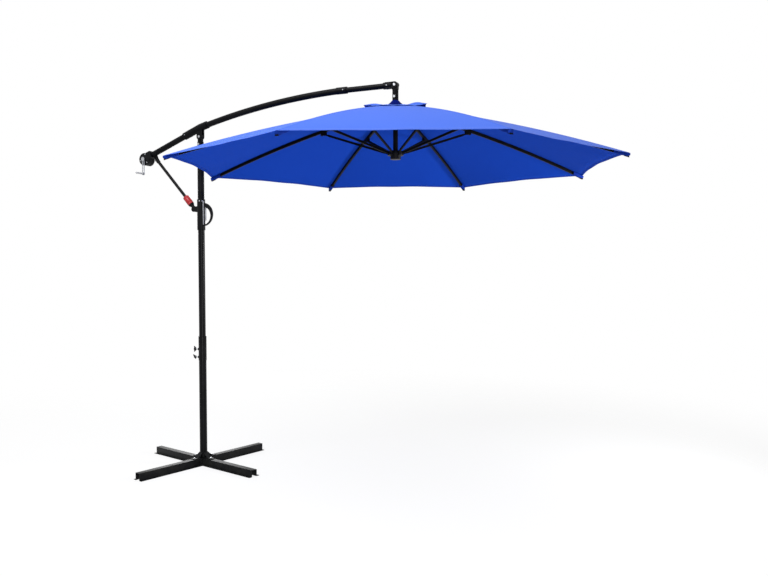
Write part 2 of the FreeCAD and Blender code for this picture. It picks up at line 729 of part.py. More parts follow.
# ----------------------------------------------------- slider with grip and lever
clevis = []
for side in ("", "-"):
    middle = f"{side}(strut_boss_thickness / 2 + clevis_gap + clevis_thickness / 2)"
    clevis.append(box("slider_pivot_offset", "clevis_thickness", "clevis_height",
                      ("-slider_pivot_offset / 2", middle, "slider_pivot_height - clevis_height / 2")))
    eye_at = ("-slider_pivot_offset", middle, "slider_pivot_height")
    clevis.append(across("clevis_height", "clevis_thickness", eye_at))
slider = fuse(upright("slider_outer", "slider_length", ("0", "0", "slider_bottom")), *clevis)
node("slider_body", cut(slider, upright(BUSH_BORE, "slider_length * 2", ("0", "0", "slider_bottom - 10"))))


def crescent_grip():
    """A D-shaped handle: two arcs that meet the slider, thick above and slim below."""
    face_x = size("slider_outer") / 2 - 1
    top, low, reach = size("grip_top"), size("grip_bottom"), size("grip_reach")
    middle = (top + low) / 2 - size("grip_belly")
    half = size("grip_width") / 2
    outer = Part.Arc(Vector(face_x, -half, top), Vector(reach, -half, middle), Vector(face_x, -half, low))
    inner_top = Vector(face_x, -half, top - size("grip_thick_top"))
    inner_low = Vector(face_x, -half, low + size("grip_thick_low"))
    inner = Part.Arc(inner_low, Vector(reach - size("grip_thick_outer"), -half, middle), inner_top)
    edges = [outer.toShape(), Part.LineSegment(outer.EndPoint, inner_low).toShape(),
             inner.toShape(), Part.LineSegment(inner_top, outer.StartPoint).toShape()]
    solid = Part.Face(Part.Wire(edges)).extrude(Vector(0, 2 * half, 0))
    slider_clear = Part.makeCylinder(size("slider_outer") / 2, top - low, Vector(0, 0, low))
    slot_width = size("lever_width") + 2 * size("lever_slot_play")
    slot_corner = Vector(0, -slot_width / 2, size("lever_pin_height") - 2 * half)
    slot = Part.makeBox(reach, slot_width, top - low, slot_corner)
    pin = Part.makeCylinder(size("lever_pin") / 2, 2 * half,
                            Vector(size("lever_pin_offset"), -half, size("lever_pin_height")), Y_AXIS)
    return solid.cut([slider_clear, slot]).fuse(pin)


node("slider_grip", shaped(crescent_grip()))
LEVER_PIVOT = ("lever_pin_offset", "0", "lever_pin_height")
LEVER_BOTTOM = "lever_pin_height + lever_eye / 2 - lever_length"
lever = fuse(box("lever_thickness", "lever_width", "lever_length",
                 ("lever_pin_offset - lever_setback", "0", LEVER_BOTTOM)),
             box("lever_setback", "lever_width", "lever_eye / 2",
                 ("lever_pin_offset - lever_setback / 2", "0", "lever_pin_height")),
             across("lever_eye", "lever_width", LEVER_PIVOT))
node("release_lever", cut(lever, across("lever_pin + pin_fit * 2", "lever_width", LEVER_PIVOT)))

# --------------------------------------------- hanging link, post, hub and runner
ELBOW = ("canopy_offset", "0", "elbow_height")
LINK_WIDTH = "elbow_eye_radius * 2 - link_eye_step"
link = fuse(across(LINK_WIDTH, "link_thickness", ELBOW),
            box(LINK_WIDTH, "link_thickness", "elbow_height - link_shoulder",
                ("canopy_offset", "0", "link_shoulder")),
            upright("link_outer", "link_shoulder - link_bottom", ("canopy_offset", "0", "link_bottom")))
LINK_FOOT = ("canopy_offset", "0", "link_bottom")
link_bolt_bore = across("base_bolt_shank", "saddle_outer", ("canopy_offset", "0", "link_bolt_height"))
node("drop_link", cut(link, upright("post_outer", "post_inset", LINK_FOOT), link_bolt_bore,
                      across("elbow_pin", "saddle_outer", ELBOW)))
POST_FOOT = ("canopy_offset", "0", "post_bottom")
POST_RUN = "link_bottom + post_inset - post_bottom"
node("canopy_post", cut(upright("post_outer", POST_RUN, POST_FOOT), link_bolt_bore,
                        upright("post_outer - post_wall * 2", POST_RUN, POST_FOOT)))
node("head_pins", group(
    cross_pin("elbow_pin", "(link_thickness + cheek_gap * 4 + elbow_cheek * 2)", ELBOW),
    cross_pin("base_bolt_shank", "link_outer", ("canopy_offset", "0", "link_bolt_height"))))

HUB_PIVOT = "(crown_height - (rib_depth / 2 + fabric_gap))"


def slotted_disc(radius, bore, bottom, height, slot_width, slot_from, slot_bottom, slot_height, count):
    """A disc on Z with open radial slots, made as a padded ring with a polar pattern of pockets."""
    body = doc.addObject("PartDesign::Body", "SlottedDisc")
    plane = [f for f in body.Origin.OriginFeatures if f.Role == "XY_Plane"][0]
    ring = body.newObject("Sketcher::SketchObject", "Ring")
    ring.AttachmentSupport = [(plane, "")]
    ring.MapMode = "FlatFace"
    bind(ring, AttachmentOffset__Base__z=bottom)
    for index, edge in enumerate((radius, bore)):
        start = 2.0 - index
        ring.addGeometry(Part.Circle(ORIGIN, Z_AXIS, start), False)
        ring.addConstraint(Sketcher.Constraint("Coincident", index, 3, -1, 1))
        row = ring.addConstraint(Sketcher.Constraint("Radius", index, start))
        ring.setExpression(f"Constraints[{row}]", formula(edge))
    pad = body.newObject("PartDesign::Pad", "Disc")
    pad.Profile = ring
    bind(pad, Length=height)
    slot = body.newObject("PartDesign::SubtractiveBox", "Slot")
    slot.AttachmentSupport = [(plane, "")]
    slot.MapMode = "FlatFace"
    bind(slot, Length=f"{radius} * 2", Width=slot_width, Height=slot_height,
         AttachmentOffset__Base__x=slot_from, AttachmentOffset__Base__y=f"-({slot_width}) / 2",
         AttachmentOffset__Base__z=slot_bottom)
    doc.recompute()
    pattern = body.newObject("PartDesign::PolarPattern", "Slots")
    pattern.Originals = [slot]
    axis = [f for f in body.Origin.OriginFeatures if f.Role == "Z_Axis"][0]
    pattern.Axis = (axis, [""])
    pattern.Angle = 360
    bind(pattern, Occurrences=count)
    body.Tip = pattern
    return body


HUB_BOTTOM = f"{HUB_PIVOT} - hub_height / 2"
hub_disc = slotted_disc("hub_radius", "post_outer / 2", HUB_BOTTOM, "hub_height", "hub_slot",
                        "crown_radius - hub_slot_root", HUB_BOTTOM, "hub_height - hub_floor", "rib_count")
hub_wire = primitive("Torus", ("0", "0", HUB_PIVOT), Radius1="crown_radius", Radius2="hinge_wire / 2")
node("top_hub", place(fuse(hub_disc, hub_wire), ("canopy_offset", "0", "0")))

RUNNER_BORE = "post_outer / 2 + runner_fit"
RUNNER_BOTTOM = "post_bottom - runner_floor - runner_stop"
RUNNER_ROOM = ("0", "0", f"{RUNNER_BOTTOM} + runner_floor")
runner_core = cut(upright("runner_core * 2", "runner_height", ("0", "0", RUNNER_BOTTOM)),
                  upright(f"({RUNNER_BORE}) * 2", "runner_height", RUNNER_ROOM))
LUGS_BOTTOM = "runner_pivot_height - runner_lug_height / 2"
runner_lugs = slotted_disc("runner_radius", RUNNER_BORE, LUGS_BOTTOM, "runner_lug_height", "runner_slot",
                           "runner_core", LUGS_BOTTOM, "runner_lug_height", "rib_count")
node("runner", place(fuse(runner_core, runner_lugs), ("canopy_offset", "0", "0")))


# ------------------------------------------------------- ribs, stretchers and gores
def bow_arc(offset, inner, outer):
    """The bowed line of the canopy in the rz plane, moved down by offset, between two radii."""
    crown = Vector(size("crown_radius"), 0, size("crown_height"))
    rim = Vector(size("canopy_radius"), 0, size("rim_height"))
    chord = rim - crown
    normal = Vector(-chord.z, 0, chord.x).normalize()
    whole = Part.Arc(crown, (crown + rim) / 2 + normal * size("canopy_bow"), rim).toShape().Curve
    centre = whole.Center
    radius = whole.Radius - offset

    def at(reach):
        return Vector(reach, 0, centre.z + math.sqrt(radius ** 2 - (reach - centre.x) ** 2))
    return Part.Arc(at(inner), at((inner + outer) / 2), at(outer))


def bow_height(reach):
    """The height of the canopy's line at a distance from its axis."""
    return bow_arc(0, reach, size("canopy_radius")).StartPoint.z


CAP_BASE = f"{bow_height(size('cap_radius') - size('cap_wall')):.3f} + vent_lift + fabric + cap_seat"
CAP_BORE = "(link_outer / 2 + cap_clearance)"
cap = cut(primitive("Cone", ("0", "0", CAP_BASE), Radius1="cap_radius",
                    Radius2=f"{CAP_BORE} + cap_wall", Height="cap_height"),
          primitive("Cone", ("0", "0", CAP_BASE), Radius1="cap_radius - cap_wall",
                    Radius2=CAP_BORE, Height="cap_height - cap_wall"),
          upright(f"{CAP_BORE} * 2", "cap_height", ("0", "0", CAP_BASE)))
node("crown_cap", place(cap, ("canopy_offset", "0", "0")))


def bowed_bar(top, depth, width, inner, outer):
    """A bar of rectangular section under the canopy's line, on the XZ plane."""
    upper = bow_arc(top, inner, outer)
    lower = bow_arc(top + depth, inner, outer)
    edges = [upper.toShape(), Part.LineSegment(upper.EndPoint, lower.EndPoint).toShape(),
             lower.toShape(), Part.LineSegment(lower.StartPoint, upper.StartPoint).toShape()]
    face = Part.Face(Part.Wire(Part.sortEdges(edges)[0]))
    face.translate(Vector(0, -width / 2, 0))
    return face.extrude(Vector(0, width, 0))


RIB_START = size("crown_radius") + size("rib_tang_length") - size("rib_tang_lap")
RIB_END = size("canopy_radius") - size("rib_end_margin")
rib_axis_drop = size("fabric_gap") + size("rib_depth") / 2
pivot = Vector(size("crown_radius"), 0, size("crown_height") - rib_axis_drop)
rib_line = bow_arc(rib_axis_drop, size("crown_radius"), RIB_END)
start_tangent = rib_line.toShape().tangentAt(rib_line.FirstParameter)
rib_slope = math.atan2(abs(start_tangent.z), abs(start_tangent.x))


def bow_point(drop, reach):
    """A point so far under the canopy's line, at a distance from its axis."""
    return bow_arc(drop, reach, RIB_END).StartPoint


joint_reach = size("crown_radius") + size("joint_along") * math.cos(rib_slope)
joint = bow_point(rib_axis_drop + size("joint_drop"), joint_reach)


def rib_tube():
    """The rib's tube, with the flat tang that turns on the hub's wire."""
    gap, depth, width, wall = (size(key) for key in ("fabric_gap", "rib_depth", "rib_width", "rib_wall"))
    lap = size("rib_tang_lap")
    tang_depth, tang_width = size("rib_tang_depth"), size("rib_tang")
    tube = bowed_bar(gap, depth, width, RIB_START, RIB_END)
    bore = bowed_bar(gap + wall, depth - 2 * wall, width - 2 * wall, RIB_START + lap, RIB_END)
    tang_top = gap + (depth - tang_depth) / 2
    tang = bowed_bar(tang_top, tang_depth, tang_width, size("crown_radius"), RIB_START + lap / 2)
    eye = Part.makeCylinder(tang_depth / 2, tang_width, pivot - Y_AXIS * tang_width / 2, Y_AXIS)
    hole_radius = size("hinge_wire") / 2 + size("hinge_play")
    hole = Part.makeCylinder(hole_radius, 2 * width, pivot - Y_AXIS * width, Y_AXIS)
    return tube.cut(bore).fuse([tang, eye]).cut(hole)


def rib_bracket():
    """A saddle under the rib whose two cheeks hold the stretcher's pin."""
    width, cheek, half = size("rib_width"), size("bracket_cheek"), size("bracket_length") / 2
    cheek_depth = size("rib_depth") / 2 + size("joint_drop") - size("bracket_lift")
    side = [bowed_bar(rib_axis_drop, cheek_depth, cheek, joint.x - half, joint.x + half),
            Part.makeCylinder(size("bracket_eye"), cheek, joint - Y_AXIS * cheek / 2, Y_AXIS)]
    plates = []
    for sign in (1, -1):
        for piece in side:
            plate = piece.copy()
            plate.translate(Vector(0, sign * (width + cheek) / 2, 0))
            plates.append(plate)
    half_pin = Y_AXIS * (width / 2 + 2 * cheek)
    pin = Part.makeCylinder(size("stretcher_pin") / 2, 2 * half_pin.Length, joint - half_pin, Y_AXIS)
    return plates[0].fuse(plates[1:] + [pin])


def rib_tip():
    """The moulded cap on the rib's outer end, where the canopy's corner is pulled over."""
    gap, depth, width = size("fabric_gap"), size("rib_depth"), size("rib_width")
    wall = (size("rib_tip_outer") - width) / 2
    start = RIB_END - size("rib_tip_overlap")
    shell = bowed_bar(gap + size("rib_tip_drop"), depth + wall, size("rib_tip_outer"), start,
                      RIB_END + size("rib_tip_end"))
    return shell.cut(bowed_bar(gap, depth, width, start, RIB_END))


def stretcher():
    """A bar from the rib's bracket to the runner, with a flat tang at each end."""
    foot = Vector(size("runner_pivot_radius"), 0, size("runner_pivot_height"))
    line = foot - joint
    length = line.Length
    width, depth, wall = size("stretcher_width"), size("stretcher_depth"), size("stretcher_wall")
    reach, lap, tang_depth = (size("stretcher_tang_" + key) for key in ("length", "lap", "depth"))
    start = reach - lap
    bar = Part.makeBox(length - 2 * start, width, depth, Vector(start, -width / 2, -depth / 2))
    bore = Part.makeBox(length - 2 * reach, width - 2 * wall, depth - 2 * wall,
                        Vector(reach, wall - width / 2, wall - depth / 2))
    solid = bar.cut(bore)
    for tang_width, begin, eye_at in ((width, 0, 0), (size("stretcher_tang"), length - reach, length)):
        tang = Part.makeBox(reach, tang_width, tang_depth, Vector(begin, -tang_width / 2, -tang_depth / 2))
        eye = Part.makeCylinder(tang_depth / 2, tang_width, Vector(eye_at, -tang_width / 2, 0), Y_AXIS)
        solid = solid.fuse([tang, eye])
    hole_radius = size("stretcher_pin") / 2 + size("pin_fit")
    solid = solid.cut(Part.makeCylinder(hole_radius, width, Vector(0, -width / 2, 0), Y_AXIS))
    solid.rotate(ORIGIN, Y_AXIS, math.degrees(math.atan2(-line.z, line.x)))
    solid.translate(joint)
    return solid


HALF_SECTOR = math.pi / size("rib_count")


def panel_half(inner, outer, scallop, lift):
    """Half of a gore: one side of a rib, out to the line midway to the next rib."""
    narrow = math.cos(HALF_SECTOR)
    line = bow_arc(0, inner * narrow, outer)
    middle = line.toShape().valueAt((line.FirstParameter + line.LastParameter) / 2)
    points = [line.StartPoint, middle, line.EndPoint]
    flat = [Vector(point.x * narrow, 0, point.z + lift) for point in points]
    raised = [point + Vector(0, 0, size("fabric")) for point in flat]
    edges = [Part.Arc(*flat).toShape(), Part.LineSegment(flat[2], raised[2]).toShape(),
             Part.Arc(*raised).toShape(), Part.LineSegment(raised[0], flat[0]).toShape()]
    strip = Part.Face(Part.Wire(Part.sortEdges(edges)[0])).extrude(Vector(0, 2 * outer, 0))
    strip.translate(Vector(0, -outer, 0))
    strip.rotate(ORIGIN, Z_AXIS, math.degrees(HALF_SECTOR))
    middle_way = Vector(narrow, math.sin(HALF_SECTOR), 0)
    tip = Vector(outer, 0, 0)
    next_tip = Vector(outer * math.cos(2 * HALF_SECTOR), outer * math.sin(2 * HALF_SECTOR), 0)
    hem_middle = middle_way * (outer * narrow - scallop)
    hem = Part.Arc(tip, hem_middle, next_tip).toShape()
    quarter = hem.valueAt(hem.FirstParameter + (hem.LastParameter - hem.FirstParameter) / 4)
    inset = Vector(math.sin(HALF_SECTOR), -narrow, 0) * size("seam_gap") / 2
    throat = inner * narrow
    plan = [Part.Arc(tip, quarter, hem_middle).toShape(),
            Part.LineSegment(hem_middle, middle_way * throat).toShape(),
            Part.LineSegment(middle_way * throat, Vector(inner, 0, 0)).toShape(),
            Part.LineSegment(Vector(inner, 0, 0), tip).toShape()]
    prism = Part.Face(Part.Wire(plan)).extrude(Vector(0, 0, 2 * size("crown_height")))
    trim = Part.makeBox(2 * outer, outer, 2 * size("crown_height"))
    trim.rotate(ORIGIN, Z_AXIS, math.degrees(HALF_SECTOR))
    trim.translate(inset)
    return strip.common(prism).cut(trim)


def gore(inner, outer, scallop, lift=0):
    """A kite of fabric over one rib: two halves that meet on the rib."""
    half = panel_half(inner, outer, scallop, lift)
    return half.fuse(half.mirror(ORIGIN, Y_AXIS)).removeSplitter()


rib_pieces = [shaped(rib_tube()), shaped(rib_bracket()), shaped(rib_tip())]
stretcher_piece = shaped(stretcher())
main_gore = gore(size("vent_opening"), size("canopy_radius"), size("hem_scallop"))
vent_gore = gore(size("vent_inner"), size("vent_radius"), size("vent_scallop"), size("vent_lift"))
gore_pieces = [shaped(main_gore), shaped(vent_gore)]
for number in range(1, int(size("rib_count")) + 1):
    turn = f"180 - {number - 1} * 360 / rib_count"
    for name, pieces in (("rib", rib_pieces), ("stretcher", [stretcher_piece]), ("gore", gore_pieces)):
        node(f"{name}_{number}", place(group(*pieces), ("canopy_offset", "0", "0"), Z_AXIS, turn))

doc.recompute()


# ------------------------------------------------------------- checks and export
for item in doc.Objects:
    if {"Invalid", "Error"} & set(item.State):
        raise RuntimeError(f"{item.Label} failed: {item.State}")
os.makedirs("parts", exist_ok=True)
for item in NODES:
    if item.Shape.isNull() or not item.Shape.isValid() or not item.Shape.Solids:
        raise RuntimeError(f"{item.Label} has no valid solid")
    item.Shape.exportStep(f"parts/{item.Label}.step")
    print(f"{item.Label:22s} {len(item.Shape.Solids)} solids {item.Shape.Volume / 1000:9.2f} cm3")
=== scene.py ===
import json
import math

import bmesh
import bpy
from mathutils import Matrix, Vector


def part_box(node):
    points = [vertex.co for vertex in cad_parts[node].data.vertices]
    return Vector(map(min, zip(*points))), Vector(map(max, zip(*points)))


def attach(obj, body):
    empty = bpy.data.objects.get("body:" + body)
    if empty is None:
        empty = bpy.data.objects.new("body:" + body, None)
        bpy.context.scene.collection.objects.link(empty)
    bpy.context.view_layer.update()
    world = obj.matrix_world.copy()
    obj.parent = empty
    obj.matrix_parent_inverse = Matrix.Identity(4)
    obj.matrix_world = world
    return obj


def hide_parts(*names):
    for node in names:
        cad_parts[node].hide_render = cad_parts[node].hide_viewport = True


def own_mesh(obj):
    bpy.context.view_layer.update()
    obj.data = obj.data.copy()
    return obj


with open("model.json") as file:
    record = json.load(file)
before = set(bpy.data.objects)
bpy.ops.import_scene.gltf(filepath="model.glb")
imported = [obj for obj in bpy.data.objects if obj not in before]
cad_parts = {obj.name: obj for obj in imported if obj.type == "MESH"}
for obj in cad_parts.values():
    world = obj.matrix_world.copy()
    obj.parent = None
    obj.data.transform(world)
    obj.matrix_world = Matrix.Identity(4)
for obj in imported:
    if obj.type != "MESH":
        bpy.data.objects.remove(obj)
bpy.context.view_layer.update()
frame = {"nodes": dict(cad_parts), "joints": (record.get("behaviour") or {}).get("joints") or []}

# ---------------------------------------------------------------- Cross base
# Two hat-shaped steel channels that cross under the mast, folded from 3 mm sheet and
# powder coated black. The upper one is notched over the lower; both ends stay open.
POWDER_BLACK = "#0E0F11"
DUST = "#1D1D1C"
ORANGE_PEEL_MM = 1.6
DUST_PATCH_MM = 70


def linear(text):
    """An sRGB hex colour as linear light."""
    shares = [int(text[start:start + 2], 16) / 255 for start in (1, 3, 5)]
    return [s / 12.92 if s <= 0.04045 else ((s + 0.055) / 1.055) ** 2.4 for s in shares] + [1]


def add(tree, kind, inputs=None, **settings):
    """Adds a node with its settings; an input is a value or the socket that feeds it."""
    made = tree.nodes.new(kind)
    for name, value in settings.items():
        setattr(made, name, value)
    for name, value in (inputs or {}).items():
        if isinstance(value, bpy.types.NodeSocket):
            tree.links.new(value, made.inputs[name])
        else:
            made.inputs[name].default_value = value
    return made


def new_material(name):
    """An empty material with its output."""
    material = bpy.data.materials.new(name)
    material.use_nodes = True
    material.node_tree.nodes.clear()
    return material, material.node_tree, add(material.node_tree, "ShaderNodeOutputMaterial")


def powder_coat(name, colour, worn, roughness, shine):
    """Baked polyester powder: a fine orange peel that breaks up every highlight."""
    material, tree, output = new_material(name)
    place = add(tree, "ShaderNodeTexCoord").outputs["Object"]
    peel = add(tree, "ShaderNodeTexNoise", {"Vector": place, "Scale": 1000 / ORANGE_PEEL_MM, "Detail": 2})
    patch = add(tree, "ShaderNodeTexNoise", {"Vector": place, "Scale": 1000 / DUST_PATCH_MM, "Detail": 5})
    handled = add(tree, "ShaderNodeMapRange",
                  {"Value": patch.outputs["Fac"], "From Min": 0.42, "From Max": 0.68})
    tint = add(tree, "ShaderNodeMix", {"Factor": handled.outputs["Result"], "A": linear(colour),
                                       "B": linear(worn)}, data_type="RGBA")
    gloss = add(tree, "ShaderNodeMapRange", {"Value": patch.outputs["Fac"], "From Min": 0.3, "From Max": 0.7,
                                             "To Min": roughness - 0.05, "To Max": roughness + 0.08})
    relief = add(tree, "ShaderNodeBump",
                 {"Height": peel.outputs["Fac"], "Strength": 0.25, "Distance": 0.0002})
    paint = add(tree, "ShaderNodeBsdfPrincipled",
                {"Base Color": tint.outputs["Result"], "Roughness": gloss.outputs["Result"],
                 "Specular IOR Level": shine, "Normal": relief.outputs["Normal"]})
    tree.links.new(paint.outputs["BSDF"], output.inputs["Surface"])
    return material


def finish_node(material, *names):
    """Gives CAD nodes a finish, which leaves their shape alone."""
    for name in names:
        for held in frame["nodes"][name].material_slots:
            held.material = material


def clear_selection():
    """Leaves nothing selected, so that an operator acts on the new piece alone."""
    if bpy.context.object and bpy.context.object.mode != "OBJECT":
        bpy.ops.object.mode_set(mode="OBJECT")
    bpy.ops.object.select_all(action="DESELECT")


def finished(piece, name, material, body, slot_name, *nodes):
    """Settles a piece's place into its mesh, gives it its finish and says what it rides on."""
    clear_selection()
    bpy.context.view_layer.objects.active = piece
    piece.select_set(True)
    bpy.ops.object.transform_apply(location=True, rotation=True, scale=True)
    piece.name = piece.data.name = name
    if material:
        piece.data.materials.clear()
        piece.data.materials.append(material)
    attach(piece, body)
    if nodes:
        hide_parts(*nodes)
    return piece


def modify(piece, kind, **settings):
    """Adds a modifier and applies it at once."""
    clear_selection()
    bpy.context.view_layer.objects.active = piece
    piece.select_set(True)
    modifier = piece.modifiers.new(kind.title(), kind)
    for name, value in settings.items():
        setattr(modifier, name, value)
    bpy.ops.object.modifier_apply(modifier=modifier.name)
    return piece


def smooth(piece, degrees=40):
    """Smooth shading that stays crisp at sharp edges."""
    clear_selection()
    bpy.context.view_layer.objects.active = piece
    piece.select_set(True)
    bpy.ops.object.shade_smooth_by_angle(angle=math.radians(degrees))
    return piece


def eased_copy(node_name, edge, angle=35, segments=3):
    """A CAD node's own shape with its hard edges rounded, as moulds and dies leave them."""
    clear_selection()
    source = frame["nodes"][node_name]
    piece = bpy.data.objects.new(node_name + "_eased", source.data.copy())
    bpy.context.scene.collection.objects.link(piece)
    bpy.context.view_layer.objects.active = piece
    piece.select_set(True)
    bpy.ops.object.mode_set(mode="EDIT")
    bpy.ops.mesh.select_all(action="SELECT")
    bpy.ops.mesh.remove_doubles(threshold=1e-6)
    bpy.ops.mesh.dissolve_limited(angle_limit=math.radians(1))
    bpy.ops.object.mode_set(mode="OBJECT")
    modify(piece, "BEVEL", width=edge, segments=segments, limit_method="ANGLE",
           angle_limit=math.radians(angle), use_clamp_overlap=True)
    return smooth(piece)


# Sprayed and baked powder on steel, dulled by dust: near black with a faint soft gloss on the folds.
base_steel = powder_coat("powder_coated_base_steel", POWDER_BLACK, DUST, 0.4, 0.08)
BEND_RADIUS = 0.0022
for bar in ("base_bar_lower", "base_bar_upper"):
    folded = eased_copy(bar, BEND_RADIUS, 40, 2)
    finished(folded, bar + "_folded", base_steel, "base", "powder_black_steel", bar)

# ------------------------------------------------------------ Foot and its bolts
# A cross of flat steel strips with four braces bent up to the mast, welded round it.
# Four zinc-plated hexagon bolts clamp it through the channels' webs.
ZINC = "#B4B6BA"
ZINC_DARK = "#8C8E92"
ZINC_SPANGLE_MM = 5


def plated(name, light, dark, roughness, spangle_mm):
    """Plated steel: bright metal, clouded in patches where the plating's crystals differ."""
    material, tree, output = new_material(name)
    place = add(tree, "ShaderNodeTexCoord").outputs["Object"]
    cells = add(tree, "ShaderNodeTexVoronoi", {"Vector": place, "Scale": 1000 / spangle_mm})
    cloud = add(tree, "ShaderNodeTexNoise", {"Vector": place, "Scale": 250 / spangle_mm, "Detail": 4})
    share = add(tree, "ShaderNodeMath", {0: cells.outputs["Distance"], 1: cloud.outputs["Fac"]},
                operation="MULTIPLY")
    tint = add(tree, "ShaderNodeMix",
               {"Factor": share.outputs["Value"], "A": linear(light), "B": linear(dark)}, data_type="RGBA")
    rough = add(tree, "ShaderNodeMapRange", {"Value": cloud.outputs["Fac"], "To Min": roughness - 0.07,
                                             "To Max": roughness + 0.1})
    relief = add(tree, "ShaderNodeBump",
                 {"Height": cloud.outputs["Fac"], "Strength": 0.15, "Distance": 0.0001})
    metal = add(tree, "ShaderNodeBsdfPrincipled",
                {"Base Color": tint.outputs["Result"], "Metallic": 1, "Roughness": rough.outputs["Result"],
                 "Normal": relief.outputs["Normal"]})
    tree.links.new(metal.outputs["BSDF"], output.inputs["Surface"])
    return material


# Bright zinc: pale, a little cloudy, so that a small head still glints.
bolt_zinc = plated("zinc_plated_bolts", ZINC, ZINC_DARK, 0.34, ZINC_SPANGLE_MM)
finish_node(base_steel, "mast_foot")
finish_node(bolt_zinc, "base_bolts")

# ------------------------------------------------------ Lower mast and its bush
# A 54 mm steel tube with a thicker collar at the top. A nylon bush lines it, and its
# lip shows as a thin ring that the upper mast turns in.
NYLON_BLACK = "#09090A"
NYLON_GREY = "#111113"
MOULD_GRAIN_MM = 1.2


def moulded(name, colour, light, roughness, grain_mm=MOULD_GRAIN_MM, shine=0.3):
    """Injection-moulded plastic: spark-eroded grain that turns gloss into a soft sheen."""
    material, tree, output = new_material(name)
    place = add(tree, "ShaderNodeTexCoord").outputs["Object"]
    grain = add(tree, "ShaderNodeTexVoronoi", {"Vector": place, "Scale": 1000 / grain_mm},
                feature="SMOOTH_F1")
    flow = add(tree, "ShaderNodeTexNoise", {"Vector": place, "Scale": 18, "Detail": 3})
    tint = add(tree, "ShaderNodeMix",
               {"Factor": flow.outputs["Fac"], "A": linear(colour), "B": linear(light)}, data_type="RGBA")
    sheen = add(tree, "ShaderNodeMapRange", {"Value": flow.outputs["Fac"], "To Min": roughness - 0.06,
                                             "To Max": roughness + 0.06})
    relief = add(tree, "ShaderNodeBump", {"Height": grain.outputs["Distance"], "Strength": 0.2,
                                          "Distance": 0.00015})
    plastic = add(tree, "ShaderNodeBsdfPrincipled",
                  {"Base Color": tint.outputs["Result"], "Roughness": sheen.outputs["Result"],
                   "Specular IOR Level": shine, "Normal": relief.outputs["Normal"]})
    tree.links.new(plastic.outputs["BSDF"], output.inputs["Surface"])
    return material


# Glass-filled nylon from a grained mould: black with a broad dim sheen and no mirror gloss.
nylon = moulded("moulded_black_nylon", NYLON_BLACK, NYLON_GREY, 0.42, shine=0.08)
# The same powder laid smoother on drawn tube: a thin bright line runs down its side.
mast_steel = powder_coat("powder_coated_mast_steel", "#050507", "#0B0B0E", 0.27, 0.1)
finish_node(mast_steel, "lower_mast")
finish_node(nylon, "mast_bush")

# ------------------------------------------------------------------ Thumb screws
# Two wing knobs of moulded nylon on zinc-plated M8 shanks, one above the other on the
# side away from the canopy. They clamp the upper mast, each stopped at its own turn.
KNOB_EDGE = 0.0024
KNOB_DEPTH = 0.017
KNOB_ROOT = 0.009
WING_HALF_THICKNESS = 0.0045
SHANK_RADIUS = 0.004
WASHER_RADIUS, WASHER_THICKNESS = 0.0068, 0.003


def joined(first, *others):
    """One object out of several."""
    clear_selection()
    for piece in (first, *others):
        piece.select_set(True)
    bpy.context.view_layer.objects.active = first
    bpy.ops.object.join()
    return first


def rod(radius, start, end, vertices=32):
    """A cylinder between two points."""
    clear_selection()
    run = Vector(end) - Vector(start)
    bpy.ops.mesh.primitive_cylinder_add(vertices=vertices, radius=radius, depth=run.length,
                                        location=(Vector(start) + Vector(end)) / 2,
                                        rotation=run.to_track_quat("Z", "Y").to_euler())
    made = bpy.context.object
    bpy.ops.object.transform_apply(location=True, rotation=True, scale=True)
    return made


for node_name, body, turn in (("thumb_screw_low", "screw_low", 38), ("thumb_screw_high", "screw_high", 0)):
    low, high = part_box(node_name)
    middle_z = (low.z + high.z) / 2
    outer_x, wing_x = low.x, low.x + KNOB_DEPTH
    half_span, root, thick = (high.z - low.z) / 2, KNOB_ROOT, WING_HALF_THICKNESS
    clear_selection()
    bpy.ops.mesh.primitive_cube_add(size=1, location=((outer_x + wing_x) / 2, 0, middle_z))
    wings = bpy.context.object
    bpy.ops.object.transform_apply(location=True)
    for vertex in wings.data.vertices:
        outside = vertex.co.x < (outer_x + wing_x) / 2
        vertex.co.x = outer_x if outside else wing_x
        vertex.co.y = math.copysign(thick if outside else thick * 0.8, vertex.co.y)
        vertex.co.z = middle_z + math.copysign(half_span if outside else root, vertex.co.z - middle_z)
    modify(wings, "BEVEL", width=KNOB_EDGE, segments=4)
    hub = modify(rod(root, (outer_x + 0.001, 0, middle_z), (wing_x, 0, middle_z), 40),
                 "BEVEL", width=0.0012, segments=3, limit_method="ANGLE")
    washer = modify(rod(WASHER_RADIUS, (wing_x, 0, middle_z), (wing_x + WASHER_THICKNESS, 0, middle_z), 40),
                    "BEVEL", width=0.0006, segments=2, limit_method="ANGLE")
    knob = smooth(joined(wings, hub))
    spin = Matrix.Translation((0, 0, middle_z)) @ Matrix.Rotation(math.radians(turn), 4, "X") \
        @ Matrix.Translation((0, 0, -middle_z))
    knob.data.transform(spin)
    finished(knob, node_name + "_knob", nylon, body, "black_plastic", node_name)
    shank = smooth(joined(rod(SHANK_RADIUS, (wing_x, 0, middle_z), (high.x, 0, middle_z)), washer))
    finished(shank, node_name + "_shank", bolt_zinc, body, "bolt_steel")

# ------------------------------------------------------------------- Upper mast
# A 48 mm steel tube that turns in the bush. A cast head is plugged into its top, and its
# tongue takes the arm's pivot bolt between the saddle's two lugs.
# Powder on extruded and cast aluminium: satin black, with a highlight only along its top.
arm_paint = powder_coat("powder_coated_aluminium", "#060608", "#0D0D0F", 0.4, 0.07)
finish_node(mast_steel, "upper_mast")
finish_node(arm_paint, "mast_head")
finish_node(bolt_zinc, "mast_head_bolts")

# --------------------------------------------------------------------------- Arm
# A straight rear tube and a long curved one meet in a cast saddle over the mast. A
# slimmer front tube slides into the curved one's end, and rivets hold each joint.
finish_node(arm_paint, "arm_rear_tube", "arm_main_tube", "arm_front_tube")
finish_node(arm_paint, "arm_saddle", "arm_coupler", "arm_head")
